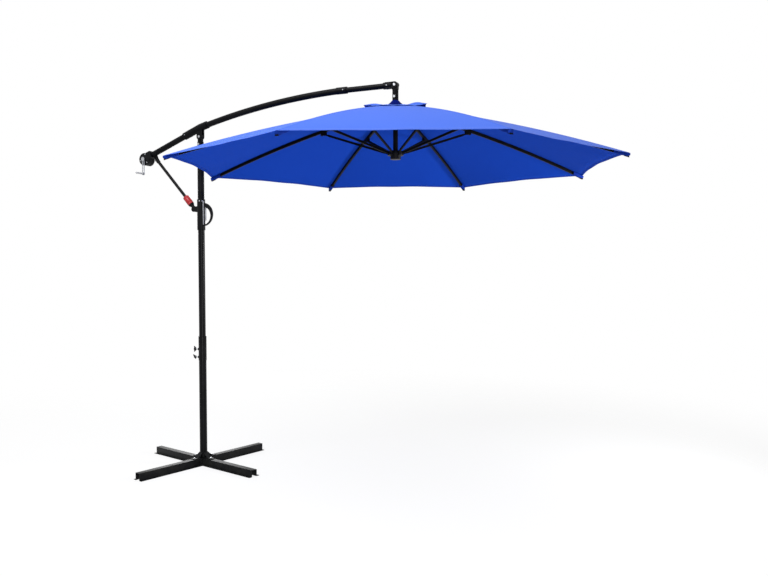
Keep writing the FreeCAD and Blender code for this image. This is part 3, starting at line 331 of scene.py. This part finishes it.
# Drawn rivet heads, dulled by their own oxide: small grey dots.
rivet_aluminium = plated("drawn_aluminium_rivets", "#8E9094", "#66686C", 0.3, 3)
finish_node(rivet_aluminium, "arm_rivets")

# ------------------------------------------------------- Crank housing and crank
# Two moulded shells screwed together round the rear tube's end, with the winding drum
# inside. The crank is bent from bright plated rod and has a turning nylon grip.
HOUSING_EDGE = 0.003
SCREW_RADIUS = 0.0042
SCREW_CIRCLE = 0.037
for side in ("front", "back"):
    shell = eased_copy("crank_housing_" + side, HOUSING_EDGE)
    finished(shell, "housing_shell_" + side, nylon, "arm", "black_plastic", "crank_housing_" + side)
housing_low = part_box("crank_housing_front")[0]
spool_low, spool_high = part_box("crank_spool")
axle = Vector(((spool_low.x + spool_high.x) / 2, 0, (spool_low.z + spool_high.z) / 2))
screws = []
for turn in (75, 195, 315):
    seat = axle + SCREW_CIRCLE * Vector((math.cos(math.radians(turn)), 0, math.sin(math.radians(turn))))
    inner_end = (seat.x, housing_low.y + 0.001, seat.z)
    outer_end = (seat.x, housing_low.y - 0.0016, seat.z)
    head = rod(SCREW_RADIUS, inner_end, outer_end, 24)
    screws.append(modify(head, "BEVEL", width=0.0007, segments=3, limit_method="ANGLE"))
finished(smooth(joined(*screws)), "housing_screws", bolt_zinc, "arm", "bolt_steel")
# Nickel and chrome on bent rod: pale and shiny, so that it takes the colour of what is round it.
crank_chrome = plated("bright_plated_crank_rod", "#B4B6BA", "#8E9095", 0.22, 12)
finish_node(crank_chrome, "crank_spool", "crank_handle")

GRIP_PROFILE = [(0.0, 0.62), (0.02, 0.9), (0.06, 1.0), (0.11, 1.0), (0.15, 0.86), (0.3, 0.9), (0.5, 0.96),
                (0.7, 0.94), (0.84, 0.88), (0.89, 1.0), (0.95, 1.0), (0.985, 0.9), (1.0, 0.6)]


def turned(profile, start, end, radius, bore, steps=40):
    """A bored round piece between two points; its outline is (share of length, share of radius)."""
    clear_selection()
    start, end = Vector(start), Vector(end)
    run = end - start
    bpy.ops.mesh.primitive_circle_add(vertices=steps, radius=bore)
    piece = bpy.context.object
    bpy.ops.object.mode_set(mode="EDIT")
    bpy.ops.mesh.select_all(action="SELECT")
    height, width = 0, bore
    for share, size in (*profile, (1.0, bore / radius)):
        climb, growth = share * run.length - height, size * radius / width
        height, width = share * run.length, size * radius
        bpy.ops.mesh.extrude_region_move(TRANSFORM_OT_translate={"value": (0, 0, climb)})
        bpy.ops.transform.resize(value=(growth, growth, 1), center_override=(0, 0, height))
    bpy.ops.mesh.select_all(action="DESELECT")
    bpy.ops.mesh.select_non_manifold()
    bpy.ops.mesh.bridge_edge_loops()
    bpy.ops.mesh.select_all(action="SELECT")
    bpy.ops.mesh.normals_make_consistent(inside=False)
    bpy.ops.object.mode_set(mode="OBJECT")
    piece.location = start
    piece.rotation_euler = run.to_track_quat("Z", "Y").to_euler()
    bpy.ops.object.transform_apply(location=True, rotation=True)
    return smooth(piece, 50)


grip_low, grip_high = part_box("crank_grip")
grip_line = Vector(((grip_low.x + grip_high.x) / 2, 0, (grip_low.z + grip_high.z) / 2))
crank_grip = turned(GRIP_PROFILE, (grip_line.x, grip_high.y, grip_line.z),
                    (grip_line.x, grip_low.y, grip_line.z),
                    (grip_high.z - grip_low.z) / 2, 0.0037)
# Light grey nylon, polished a little by hands: pale with a soft sheen.
grip_grey = moulded("moulded_grey_crank_grip", "#A9AAAD", "#BDBEC1", 0.36)
finished(crank_grip, "crank_turning_grip", grip_grey, "crank_knob", "grey_plastic", "crank_grip")

# --------------------------------------------------------- Strut and red sleeve
# A slim aluminium tube from the crank end of the arm down to the slider. The red
# polypropylene sleeve near its foot is where a hand pushes to tilt the arm.
SLEEVE_RED = "#8E141A"
SLEEVE_LIGHT = "#A5232A"
SLEEVE_PROFILE = [(0.0, 0.80), (0.015, 0.93), (0.05, 1.0), (0.12, 1.0), (0.14, 0.95), (0.18, 0.95),
                  (0.20, 1.0), (0.80, 1.0), (0.82, 0.95), (0.86, 0.95), (0.88, 1.0), (0.95, 1.0),
                  (0.985, 0.93), (1.0, 0.80)]
# Polypropylene coloured through: a deep red that stays waxy where the light strikes it.
red_plastic = moulded("moulded_red_polypropylene", SLEEVE_RED, SLEEVE_LIGHT, 0.34, 2.0)
finish_node(arm_paint, "strut_tube")
strut_top = Vector(next(joint["pos_m"] for joint in frame["joints"] if joint["name"] == "strut_swing"))
sleeve_low, sleeve_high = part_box("strut_sleeve")
sleeve_middle = Vector(((sleeve_low.x + sleeve_high.x) / 2, 0, (sleeve_low.z + sleeve_high.z) / 2))
strut_aim = (sleeve_middle - strut_top).normalized()
SLEEVE_HALF, SLEEVE_RADIUS, STRUT_RADIUS = 0.038, 0.023, 0.0111
sleeve = turned(SLEEVE_PROFILE, sleeve_middle - strut_aim * SLEEVE_HALF,
                sleeve_middle + strut_aim * SLEEVE_HALF, SLEEVE_RADIUS, STRUT_RADIUS, 48)
finished(sleeve, "strut_red_sleeve", red_plastic, "strut", "red_plastic", "strut_sleeve")
finished(eased_copy("strut_ends", 0.0012), "strut_moulded_ends", nylon, "strut", "black_plastic",
         "strut_ends")

# --------------------------------------------------------- Slider, grip and lever
# A moulded sleeve that runs on the mast, with a crescent grip on the canopy's side. A
# grey lever inside the grip frees it. Two screws close the sleeve at its top, and a grey
# strip beside the grip is a painted highlight along the sleeve's side.
finished(eased_copy("slider_body", 0.002), "slider_sleeve", nylon, "slider", "black_plastic", "slider_body")
finished(eased_copy("slider_grip", 0.0035, 30, 4), "slider_crescent_grip", nylon, "slider", "black_plastic",
         "slider_grip")
# Mid grey nylon straight from the mould, flatter than the grip of the crank.
lever_grey = moulded("moulded_grey_lever", "#8B8C8F", "#A4A5A8", 0.4)
finished(eased_copy("release_lever", 0.0012), "slider_release_lever", lever_grey, "lever", "grey_plastic",
         "release_lever")
slider_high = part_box("slider_body")[1]
SLIDER_RADIUS = 0.029
# The grey strip is a painted highlight: a piece set where a highlight line runs down the sleeve's side.
STRIP_LENGTH, STRIP_DROP, STRIP_TURN = 0.173, 0.012, -22
SLIDER_SCREW_RADIUS = 0.0045
strip_high = slider_high.z - STRIP_DROP
strip_low = strip_high - STRIP_LENGTH
clear_selection()
bpy.ops.mesh.primitive_cube_add(size=1, location=(SLIDER_RADIUS, 0, (strip_low + strip_high) / 2))
strip = bpy.context.object
strip.scale = (0.005, 0.008, strip_high - strip_low)
bpy.ops.object.transform_apply(location=True, scale=True)
modify(strip, "BEVEL", width=0.0018, segments=4)
strip.data.transform(Matrix.Rotation(math.radians(STRIP_TURN), 4, "Z"))
finished(smooth(strip), "slider_painted_highlight_strip", lever_grey, "slider", "grey_plastic")
slider_screws = []
for turn in (-78, -38):
    out = Vector((math.cos(math.radians(turn)), math.sin(math.radians(turn)), 0))
    seat = out * SLIDER_RADIUS + Vector((0, 0, slider_high.z - 0.013))
    head = rod(SLIDER_SCREW_RADIUS, seat - out * 0.001, seat + out * 0.0022, 24)
    slider_screws.append(modify(head, "BEVEL", width=0.0009, segments=3, limit_method="ANGLE"))
finished(smooth(joined(*slider_screws)), "slider_screws", bolt_zinc, "slider", "bolt_steel")

# ------------------------------------------------- Hanging link, post, hub, runner
# The link swings on the arm's end and holds the canopy's centre post. The hub on the
# post carries the ribs, and the runner below pulls the stretchers in.
finish_node(arm_paint, "drop_link", "canopy_post")
finish_node(bolt_zinc, "head_pins")
finished(eased_copy("top_hub", 0.001), "canopy_hub", nylon, "canopy_head", "black_plastic", "top_hub")
finished(eased_copy("runner", 0.0014), "canopy_runner", nylon, "runner", "black_plastic", "runner")

# --------------------------------------------------------- Ribs and stretchers
# Eight box-section ribs with pressed brackets and moulded tips, and eight stretchers. The
# sections are thin aluminium with a black powder coat, and the tips are as black.
# Thin powder on a slim section: the dullest black of the frame.
rib_paint = powder_coat("powder_coated_ribs", "#060608", "#0D0D0F", 0.5, 0.06)
RIB_COUNT = 8
for number in range(1, RIB_COUNT + 1):
    finish_node(rib_paint, f"rib_{number}", f"stretcher_{number}")

# ------------------------------------------------------------------ Canopy cloth
# Eight panels of woven solution-dyed polyester, sewn edge to edge over the ribs and
# hemmed outside. Each piece here is what one rib carries: half of the panel on each side.
# The outside's blues are the cloth's blue painted lighter, as painted light; the underside's blues and
# stitches are painted darker, as painted shade.
CLOTH_BLUE_PAINTED_LIGHT = "#4371E2"
CLOTH_BLUE_DEEP_PAINTED_LIGHT = "#3761D0"
CLOTH_UNDER_PAINTED_SHADE = "#184CC7"
CLOTH_UNDER_DEEP_PAINTED_SHADE = "#123FAF"
STITCH_BLUE = "#2A4FB8"
STITCH_UNDER_PAINTED_SHADE = "#0B2276"
# The share by which a band along the hem is painted darker: painted shade.
HEM_PAINTED_SHADE = 0.3
THREAD_MM = 2.4   # the real spacing is 0.5 mm, too fine to show
STITCH_MM = 6.0
SEAM_ROW = 0.007
HEM_ROW = 0.020
CLOTH_THICKNESS = 0.0009
CLOTH_OVER_RIB = 0.0011
SEAM_RIDGE, SEAM_HALF_WIDTH = 0.0007, 0.0075
HEM_RIDGE, HEM_WIDTH = 0.0005, 0.0225
RIPPLE_HEIGHT = 0.0016
SWELL_START, SWELL_SPAN = 0.115, 0.6   # shares of the vent's reach over which a gap opens
GAP_SPREAD = 0.55   # radians to either side of a gap's bearing
canopy_low, canopy_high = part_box("gore_3")
hub_low, hub_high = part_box("top_hub")
canopy_axis = (hub_low.x + hub_high.x) / 2
canopy_radius = canopy_high.y
CROWN_RADIUS = 0.034
RIB_HALF_DEPTH = 0.0112
crown_z = (hub_low.z + hub_high.z) / 2 + RIB_HALF_DEPTH
rim_z = canopy_low.z
BOW = 0.030
SECTOR = math.radians(45)


def bow_height(reach):
    """The height of the ribs' upper line, an arc from the crown to the rim."""
    run, fall = canopy_radius - CROWN_RADIUS, crown_z - rim_z
    chord = math.hypot(run, fall)
    radius = chord ** 2 / (8 * BOW) + BOW / 2
    back = radius - BOW
    centre_x = CROWN_RADIUS + run / 2 - fall / chord * back
    centre_z = crown_z - fall / 2 - run / chord * back
    return centre_z + math.sqrt(radius ** 2 - (reach - centre_x) ** 2)


def cloth(name, colour, deep, stitch, sheen, gloss):
    """Plain-woven polyester: matt, with yarns that cross, a soft sheen, sewn rows of lockstitch and a
    painted shade along the hem.

    The cloth map's u is the distance from the rib's seam and its v the distance from the hem.
    """
    material, tree, output = new_material(name)
    spot = add(tree, "ShaderNodeUVMap", uv_map="cloth").outputs["UV"]
    place = add(tree, "ShaderNodeTexCoord").outputs["Object"]
    parts = add(tree, "ShaderNodeSeparateXYZ", {"Vector": spot})
    wave_scale = 2 * math.pi / (20 * THREAD_MM / 1000)
    warp = add(tree, "ShaderNodeTexWave", {"Vector": spot, "Scale": wave_scale}, bands_direction="X")
    weft = add(tree, "ShaderNodeTexWave", {"Vector": spot, "Scale": wave_scale}, bands_direction="Y")
    weave = add(tree, "ShaderNodeMath", {0: warp.outputs["Fac"], 1: weft.outputs["Fac"]},
                operation="MULTIPLY")
    slub = add(tree, "ShaderNodeTexNoise", {"Vector": place, "Scale": 3.2, "Detail": 6, "Roughness": 0.6})
    blend = add(tree, "ShaderNodeMath", {0: weave.outputs["Value"], 1: slub.outputs["Fac"], 2: 0.15},
                operation="MULTIPLY_ADD")
    tint = add(tree, "ShaderNodeMix",
               {"Factor": blend.outputs["Value"], "A": linear(deep), "B": linear(colour)}, data_type="RGBA")
    across = add(tree, "ShaderNodeMath", {0: parts.outputs["X"]}, operation="ABSOLUTE").outputs["Value"]
    rows = []
    to_hem = parts.outputs["Y"]
    for distance, along, row in ((across, to_hem, SEAM_ROW), (to_hem, across, HEM_ROW)):
        near = add(tree, "ShaderNodeMath", {0: distance, 1: row, 2: 0.0009}, operation="COMPARE")
        beat = add(tree, "ShaderNodeMath", {0: along, 1: STITCH_MM / 1000}, operation="MODULO")
        dash = add(tree, "ShaderNodeMath", {0: beat.outputs["Value"], 1: 0.72 * STITCH_MM / 1000},
                   operation="LESS_THAN")
        rows.append(add(tree, "ShaderNodeMath", {0: near.outputs["Value"], 1: dash.outputs["Value"]},
                        operation="MULTIPLY").outputs["Value"])
    sewn = add(tree, "ShaderNodeMath", {0: rows[0], 1: rows[1]}, operation="MAXIMUM")
    # A band along the hem is painted darker, towards the stitch colour: painted shade along the doubled hem.
    hem_band = add(tree, "ShaderNodeMath", {0: parts.outputs["Y"], 1: HEM_ROW + 0.002}, operation="LESS_THAN")
    shade = add(tree, "ShaderNodeMath", {0: hem_band.outputs["Value"], 1: HEM_PAINTED_SHADE}, operation="MULTIPLY")
    stitches_and_hem_shade = add(tree, "ShaderNodeMath", {0: shade.outputs["Value"], 1: sewn.outputs["Value"]},
                 operation="MAXIMUM")
    colour_out = add(tree, "ShaderNodeMix", {"Factor": stitches_and_hem_shade.outputs["Value"], "A": tint.outputs["Result"],
                                             "B": linear(stitch)}, data_type="RGBA")
    height = add(tree, "ShaderNodeMath", {0: weave.outputs["Value"], 1: sewn.outputs["Value"]},
                 operation="ADD")
    relief = add(tree, "ShaderNodeBump",
                 {"Height": height.outputs["Value"], "Strength": 0.2, "Distance": 0.0003})
    yarn = add(tree, "ShaderNodeBsdfPrincipled",
               {"Base Color": colour_out.outputs["Result"], "Roughness": 0.82, "Specular IOR Level": gloss,
                "Sheen Weight": sheen, "Sheen Roughness": 0.4, "Normal": relief.outputs["Normal"]})
    tree.links.new(yarn.outputs["BSDF"], output.inputs["Surface"])
    return material


def gore_sheet(number, inner, outer, scallop, lift, puff, gaps, sag):
    """The cloth over one rib as a grid: rows run round the canopy, columns run out along it."""
    turn = math.radians(180) - (number - 1) * SECTOR
    near_seam = (0.0, 0.003, 0.006, 0.010)
    spread = 18
    near_hem = (0.024, 0.0215, 0.012, 0.004, 0.0)
    run = 34
    sheet = bmesh.new()
    cloth_map = sheet.loops.layers.uv.new("cloth")
    grid, facts = [], {}
    half_chord = math.sin(SECTOR / 2)
    columns = len(near_seam) + spread
    for row in range(run + len(near_hem)):
        line = []
        for column in range(-columns + 1, columns):
            step = abs(column)
            side = 1 if column >= 0 else -1
            guess = inner + (outer - inner) * min(1, row / run)
            if step < len(near_seam):
                share = near_seam[step] / (guess * half_chord)
            else:
                first = near_seam[-1] / (guess * half_chord)
                share = first + (1 - first) * (step - len(near_seam) + 1) / spread
            inward = scallop / math.cos(SECTOR / 2) * (2 * share - share ** 2)
            edge = outer - inward
            if row < run:
                reach = inner + (edge - near_hem[0] - inner) * row / run
            else:
                reach = edge - near_hem[row - run]
            to_hem = edge - reach
            panel = (number if side < 0 else number - 1) % RIB_COUNT
            between = share / 2 if side < 0 else 1 - share / 2
            here = Vector((math.cos(turn), math.sin(turn)))
            there = Vector((math.cos(turn + side * SECTOR), math.sin(turn + side * SECTOR)))
            flat = (here + (there - here) * share / 2) * reach
            rise = reach / outer
            drop = sag * rise ** 2 * 4 * between * (1 - between)
            slack = RIPPLE_HEIGHT * rise ** 6 * math.sin(math.pi * between) ** 2
            ripple = slack * math.sin(math.tau * 3 * between + panel)
            seam = SEAM_RIDGE * max(0, 1 - (share * guess * half_chord / SEAM_HALF_WIDTH) ** 4)
            hem = HEM_RIDGE if to_hem < HEM_WIDTH else 0
            z = bow_height(reach) + lift - drop + ripple + seam + hem + CLOTH_OVER_RIB
            outward = (reach - inner) / (outer - inner)
            z += puff * math.sin(math.pi * min(1, outward) ** 0.8)
            for bearing, height in gaps:
                off = math.remainder(math.atan2(flat.y, flat.x) - math.radians(bearing), math.tau)
                swell = math.sin(math.pi / 2 * max(0, min(1, (outward - SWELL_START) / SWELL_SPAN)))
                z += height * swell * math.exp(-(off / GAP_SPREAD) ** 2)
            vertex = sheet.verts.new((canopy_axis + flat.x, flat.y, z))
            facts[vertex] = (side * share * reach * half_chord, to_hem)
            line.append(vertex)
        grid.append(line)
    for upper, lower in zip(grid, grid[1:]):
        for left in range(len(upper) - 1):
            face = sheet.faces.new((upper[left], lower[left], lower[left + 1], upper[left + 1]))
            face.smooth = True
            for loop in face.loops:
                loop[cloth_map].uv = facts[loop.vert]
    bmesh.ops.recalc_face_normals(sheet, faces=sheet.faces)
    if sum((face.normal.z for face in sheet.faces)) < 0:
        bmesh.ops.reverse_faces(sheet, faces=sheet.faces)
    area = sum(face.calc_area() for face in sheet.faces)
    mesh = bpy.data.meshes.new("cloth")
    sheet.to_mesh(mesh)
    sheet.free()
    piece = bpy.data.objects.new("cloth", mesh)
    bpy.context.scene.collection.objects.link(piece)
    mesh.materials.append(lit_outer_cloth)
    mesh.materials.append(shaded_under_cloth)
    modify(piece, "SOLIDIFY", thickness=CLOTH_THICKNESS, offset=-1, material_offset=1, material_offset_rim=0,
           use_even_offset=True)
    return smooth(piece, 50), area


# The outside: the same cloth painted a lighter blue, as painted light on the side the lamps fall on.
lit_outer_cloth = cloth("woven_blue_polyester_outside_painted_light", CLOTH_BLUE_PAINTED_LIGHT, CLOTH_BLUE_DEEP_PAINTED_LIGHT, STITCH_BLUE, 0.08, 0.2)
# The underside of the same cloth, painted a deeper blue as painted shade, and quite matt.
shaded_under_cloth = cloth("woven_blue_polyester_underside_painted_shade", CLOTH_UNDER_PAINTED_SHADE, CLOTH_UNDER_DEEP_PAINTED_SHADE, STITCH_UNDER_PAINTED_SHADE, 0.0, 0.03)
VENT_OPENING, HEM_SCALLOP, PANEL_SAG = 0.112, 0.040, 0.010
VENT_INNER, VENT_RADIUS, VENT_SCALLOP, VENT_LIFT, VENT_PUFF = 0.050, 0.220, 0.007, 0.005, 0.003
VENT_GAPS = ((14, 0.040), (218, 0.027))   # the bearing and the height where wind has lifted its edge
POCKET_LENGTH, POCKET_DEPTH, POCKET_HALF_WIDTH = 0.085, 0.0245, 0.0115
# Two layers of the same cloth, painted a darker blue: painted shade for the light that the doubled cloth
# holds back.
shaded_pocket_cloth = cloth("woven_blue_polyester_pockets_painted_shade", "#16389F", "#0F2C86", STITCH_UNDER_PAINTED_SHADE, 0.0, 0.05)


def corner_pocket(number):
    """The sewn cloth pocket that takes a rib's tip: a slack tube that closes at the canopy's corner."""
    turn = math.radians(180) - (number - 1) * SECTOR
    out, across = Vector((math.cos(turn), math.sin(turn), 0)), Vector((-math.sin(turn), math.cos(turn), 0))
    sheet = bmesh.new()
    cloth_map = sheet.loops.layers.uv.new("cloth")
    rings, facts = [], {}
    for step in range(13):
        share = step / 12
        reach = canopy_radius - POCKET_LENGTH + (POCKET_LENGTH + 0.004) * share
        close = max(0, (share - 0.86) / 0.14)
        slack = 0.0008 * math.sin(9 * share + number)
        half = (POCKET_HALF_WIDTH + 0.004 * (1 - share) + slack) * (1 - 0.45 * close)
        depth = (POCKET_DEPTH + slack) * (1 - 0.55 * close)
        top = bow_height(min(reach, canopy_radius)) - 0.0002
        ring = []
        for corner in range(24):
            angle = math.tau * corner / 24
            side = math.copysign(abs(math.cos(angle)) ** 0.6, math.cos(angle))
            rise = math.copysign(abs(math.sin(angle)) ** 0.7, math.sin(angle))
            middle = Vector((canopy_axis, 0, top - depth / 2 + rise * depth / 2))
            at = middle + out * reach + across * side * half
            vertex = sheet.verts.new(at)
            facts[vertex] = (0.05 + corner * 0.003, POCKET_LENGTH * share + 0.001)
            ring.append(vertex)
        rings.append(ring)
    for before, after in zip(rings, rings[1:]):
        for corner in range(24):
            following = (corner + 1) % 24
            sheet.faces.new((before[corner], before[following], after[following], after[corner]))
    sheet.faces.new(rings[-1])
    for face in sheet.faces:
        for loop in face.loops:
            loop[cloth_map].uv = facts[loop.vert]
    bmesh.ops.recalc_face_normals(sheet, faces=sheet.faces)
    area = sum(face.calc_area() for face in sheet.faces)
    mesh = bpy.data.meshes.new("pocket")
    sheet.to_mesh(mesh)
    sheet.free()
    piece = bpy.data.objects.new("pocket", mesh)
    bpy.context.scene.collection.objects.link(piece)
    modify(piece, "SOLIDIFY", thickness=CLOTH_THICKNESS, offset=-1)
    return smooth(piece, 60), area


for number in range(1, RIB_COUNT + 1):
    turn = math.radians(180) - (number - 1) * SECTOR
    main, area = gore_sheet(number, VENT_OPENING, canopy_radius, HEM_SCALLOP, 0, 0, (), PANEL_SAG)
    finished(main, f"canopy_gore_{number}", None, f"rib_{number}", "canopy_cloth", f"gore_{number}")
    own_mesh(main)
    vent, area = gore_sheet(number, VENT_INNER, VENT_RADIUS, VENT_SCALLOP, VENT_LIFT, VENT_PUFF, VENT_GAPS,
                            0.002)
    finished(vent, f"canopy_vent_{number}", None, f"rib_{number}", "canopy_cloth")
    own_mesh(vent)
    pocket, area = corner_pocket(number)
    finished(pocket, f"canopy_pocket_{number}", shaded_pocket_cloth, f"rib_{number}", "canopy_cloth")

# -------------------------------------------------------------------- Crown cap
# A small stiffened cone of cloth, coloured darker than the panels and sewn from eight
# wedges, that closes the vent round the post and keeps rain off the hub.
CROWN_BLUE = "#081C74"
CROWN_BLUE_DEEP = "#061460"
cap_low, cap_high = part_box("crown_cap")
CAP_COLLAR = 0.0215
CAP_HOLLOW, CAP_SCALLOP = 0.13, 0.05   # shares of the radius drawn in by the slope and between seams
CAP_SLOPE = 1.6   # length of the cloth for each unit of height
CAP_THICKNESS = 0.0015
cap_radius = (cap_high.x - cap_low.x) / 2
clear_selection()
bpy.ops.mesh.primitive_cone_add(vertices=64, radius1=cap_radius, radius2=CAP_COLLAR, end_fill_type="NOTHING",
                                depth=cap_high.z - cap_low.z,
                                location=(canopy_axis, 0, (cap_low.z + cap_high.z) / 2))
cap = bpy.context.object
bpy.ops.object.transform_apply(location=True)
bpy.ops.object.mode_set(mode="EDIT")
bpy.ops.mesh.select_all(action="SELECT")
bpy.ops.mesh.subdivide(number_cuts=5)
bpy.ops.object.mode_set(mode="OBJECT")
for vertex in cap.data.vertices:
    around = math.atan2(vertex.co.y, vertex.co.x - canopy_axis)
    up = (vertex.co.z - cap_low.z) / (cap_high.z - cap_low.z)
    tuck = 1 - CAP_HOLLOW * math.sin(math.pi * up) - CAP_SCALLOP * abs(math.sin(4 * around)) * (1 - up)
    vertex.co.x = canopy_axis + (vertex.co.x - canopy_axis) * tuck
    vertex.co.y = vertex.co.y * tuck
cap_map = cap.data.uv_layers.new(name="cloth")
for loop in cap.data.loops:
    spot = cap.data.vertices[loop.vertex_index].co
    wedges = math.atan2(spot.y, spot.x - canopy_axis) / SECTOR
    reach = math.hypot(spot.x - canopy_axis, spot.y)
    from_seam = (wedges - round(wedges)) * SECTOR * reach
    cap_map.data[loop.index].uv = (from_seam, (spot.z - cap_low.z) * CAP_SLOPE)
# The same weave, stiffened, and coloured a navy darker than the panels: flat and close.
crown_cloth = cloth("stiffened_blue_crown_cloth", CROWN_BLUE, CROWN_BLUE_DEEP, "#02093A", 0.0, 0.03)
modify(cap, "SOLIDIFY", thickness=CAP_THICKNESS, offset=-1)
finished(smooth(cap, 60), "canopy_crown_cap", crown_cloth, "canopy_head", "canopy_cloth", "crown_cap")

# ------------------------------------------------------------------------ Studio
# A pale floor that fades into a white surround, and four soft lamps: a broad one above
# and to the left, a fill from the front, a narrow one that draws a line down the mast
# and one from behind.
FLOOR_WHITE = "#F4F4F4"
FLOOR_BOUNCE = "#D2D2D2"
SHADOW_LIFT = 0.8
FLOOR_CLEAR, FLOOR_GONE = 2.2, 5.5
clear_selection()
bpy.ops.mesh.primitive_circle_add(vertices=96, radius=FLOOR_GONE + 1, fill_type="NGON", location=(0.6, 0, 0))
floor = bpy.context.object
floor.name = "studio_floor"
floor_paint, tree, output = new_material("studio_floor_paint")
ground = add(tree, "ShaderNodeTexCoord").outputs["Object"]
reach = add(tree, "ShaderNodeVectorMath", {0: ground}, operation="LENGTH")
fade = add(tree, "ShaderNodeMapRange", {"Value": reach.outputs["Value"], "From Min": FLOOR_CLEAR,
                                        "From Max": FLOOR_GONE}, interpolation_type="SMOOTHSTEP")
rays = add(tree, "ShaderNodeLightPath").outputs
mirrored = add(tree, "ShaderNodeMath", {0: rays["Is Glossy Ray"], 1: rays["Is Transmission Ray"]},
               operation="MAXIMUM")
seen = add(tree, "ShaderNodeMath", {0: rays["Is Camera Ray"], 1: mirrored.outputs["Value"]},
           operation="MAXIMUM").outputs["Value"]
shade = add(tree, "ShaderNodeMix", {"Factor": seen, "A": linear(FLOOR_BOUNCE), "B": linear(FLOOR_WHITE)},
            data_type="RGBA")
paint = add(tree, "ShaderNodeBsdfDiffuse", {"Color": shade.outputs["Result"]})
light = add(tree, "ShaderNodeEmission", {"Color": (1, 1, 1, 1), "Strength": 1.0})
lifted = add(tree, "ShaderNodeMath", {0: seen, 1: SHADOW_LIFT}, operation="MULTIPLY")
soft = add(tree, "ShaderNodeMixShader", {0: lifted.outputs["Value"], 1: paint.outputs["BSDF"],
                                         2: light.outputs["Emission"]})
clear = add(tree, "ShaderNodeBsdfTransparent")
blend = add(tree, "ShaderNodeMixShader",
            {0: fade.outputs["Result"], 1: soft.outputs["Shader"], 2: clear.outputs["BSDF"]})
tree.links.new(blend.outputs["Shader"], output.inputs["Surface"])
floor.data.materials.append(floor_paint)

world = bpy.data.worlds.new("studio_surround")
bpy.context.scene.world = world
world.use_nodes = True
world.node_tree.nodes.clear()
SURROUND_LIGHT = 0.42
rays = add(world.node_tree, "ShaderNodeLightPath").outputs
mirrored = add(world.node_tree, "ShaderNodeMath", {0: rays["Is Glossy Ray"], 1: rays["Is Transmission Ray"]},
               operation="MAXIMUM")
seen = add(world.node_tree, "ShaderNodeMath", {0: rays["Is Camera Ray"], 1: mirrored.outputs["Value"]},
           operation="MAXIMUM").outputs["Value"]
level = add(world.node_tree, "ShaderNodeMapRange", {"Value": seen, "To Min": SURROUND_LIGHT, "To Max": 1.0})
glow = add(world.node_tree, "ShaderNodeBackground",
           {"Color": (1, 1, 1, 1), "Strength": level.outputs["Result"]})
add(world.node_tree, "ShaderNodeOutputWorld", {"Surface": glow.outputs["Background"]})

for name, where, aim, wide, power in (
        ("lamp_above", (0.0, -3.5, 6.0), (1.0, 0.0, 2.0), 4.0, 335),
        ("lamp_front_fill", (4.5, -5.5, 1.0), (0.8, 0.0, 1.8), 3.0, 110),
        ("lamp_mast_line", (4.0, 1.3, 1.5), (0.0, 0.0, 1.3), 0.6, 60),
        ("lamp_behind", (-3.4, 4.4, 2.6), (0.0, 0.0, 0.3), 2.4, 90)):
    light = bpy.data.lights.new(name, "AREA")
    light.shape = "DISK"
    light.size = wide
    light.energy = power
    lamp = bpy.data.objects.new(name, light)
    lamp.visible_camera = False
    bpy.context.scene.collection.objects.link(lamp)
    lamp.location = where
    lamp.rotation_euler = (Vector(aim) - Vector(where)).to_track_quat("-Z", "Y").to_euler()

# ------------------------------------------------------------------------ Camera
# The eye is 1.46 m above the floor, lower than the rim, and half a metre past the canopy's
# edge along the arm. It looks almost level, so that the underside shows, and so does the
# outside of the near panels.
EYE = (3.4521, -4.5215, 1.4632)
YAW, PITCH, ROLL = -0.4149, -0.0302, -0.0029
LENS_MM = 35.311875
SENSOR_MM = 36
view_line = Vector((math.sin(YAW) * math.cos(PITCH), math.cos(YAW) * math.cos(PITCH), math.sin(PITCH)))
level_right = Vector((math.cos(YAW), -math.sin(YAW), 0))
upward = level_right.cross(view_line)
right = math.cos(ROLL) * level_right + math.sin(ROLL) * upward
top = math.cos(ROLL) * upward - math.sin(ROLL) * level_right
lens = bpy.data.cameras.new("camera")
lens.sensor_width = SENSOR_MM
lens.lens = LENS_MM
lens.clip_start, lens.clip_end = 0.1, 100
camera = bpy.data.objects.new("camera", lens)
bpy.context.scene.collection.objects.link(camera)
camera.matrix_world = Matrix((right, top, -view_line)).transposed().to_4x4()
camera.location = EYE
bpy.context.scene.camera = camera
bpy.context.scene.view_settings.view_transform = "Standard"
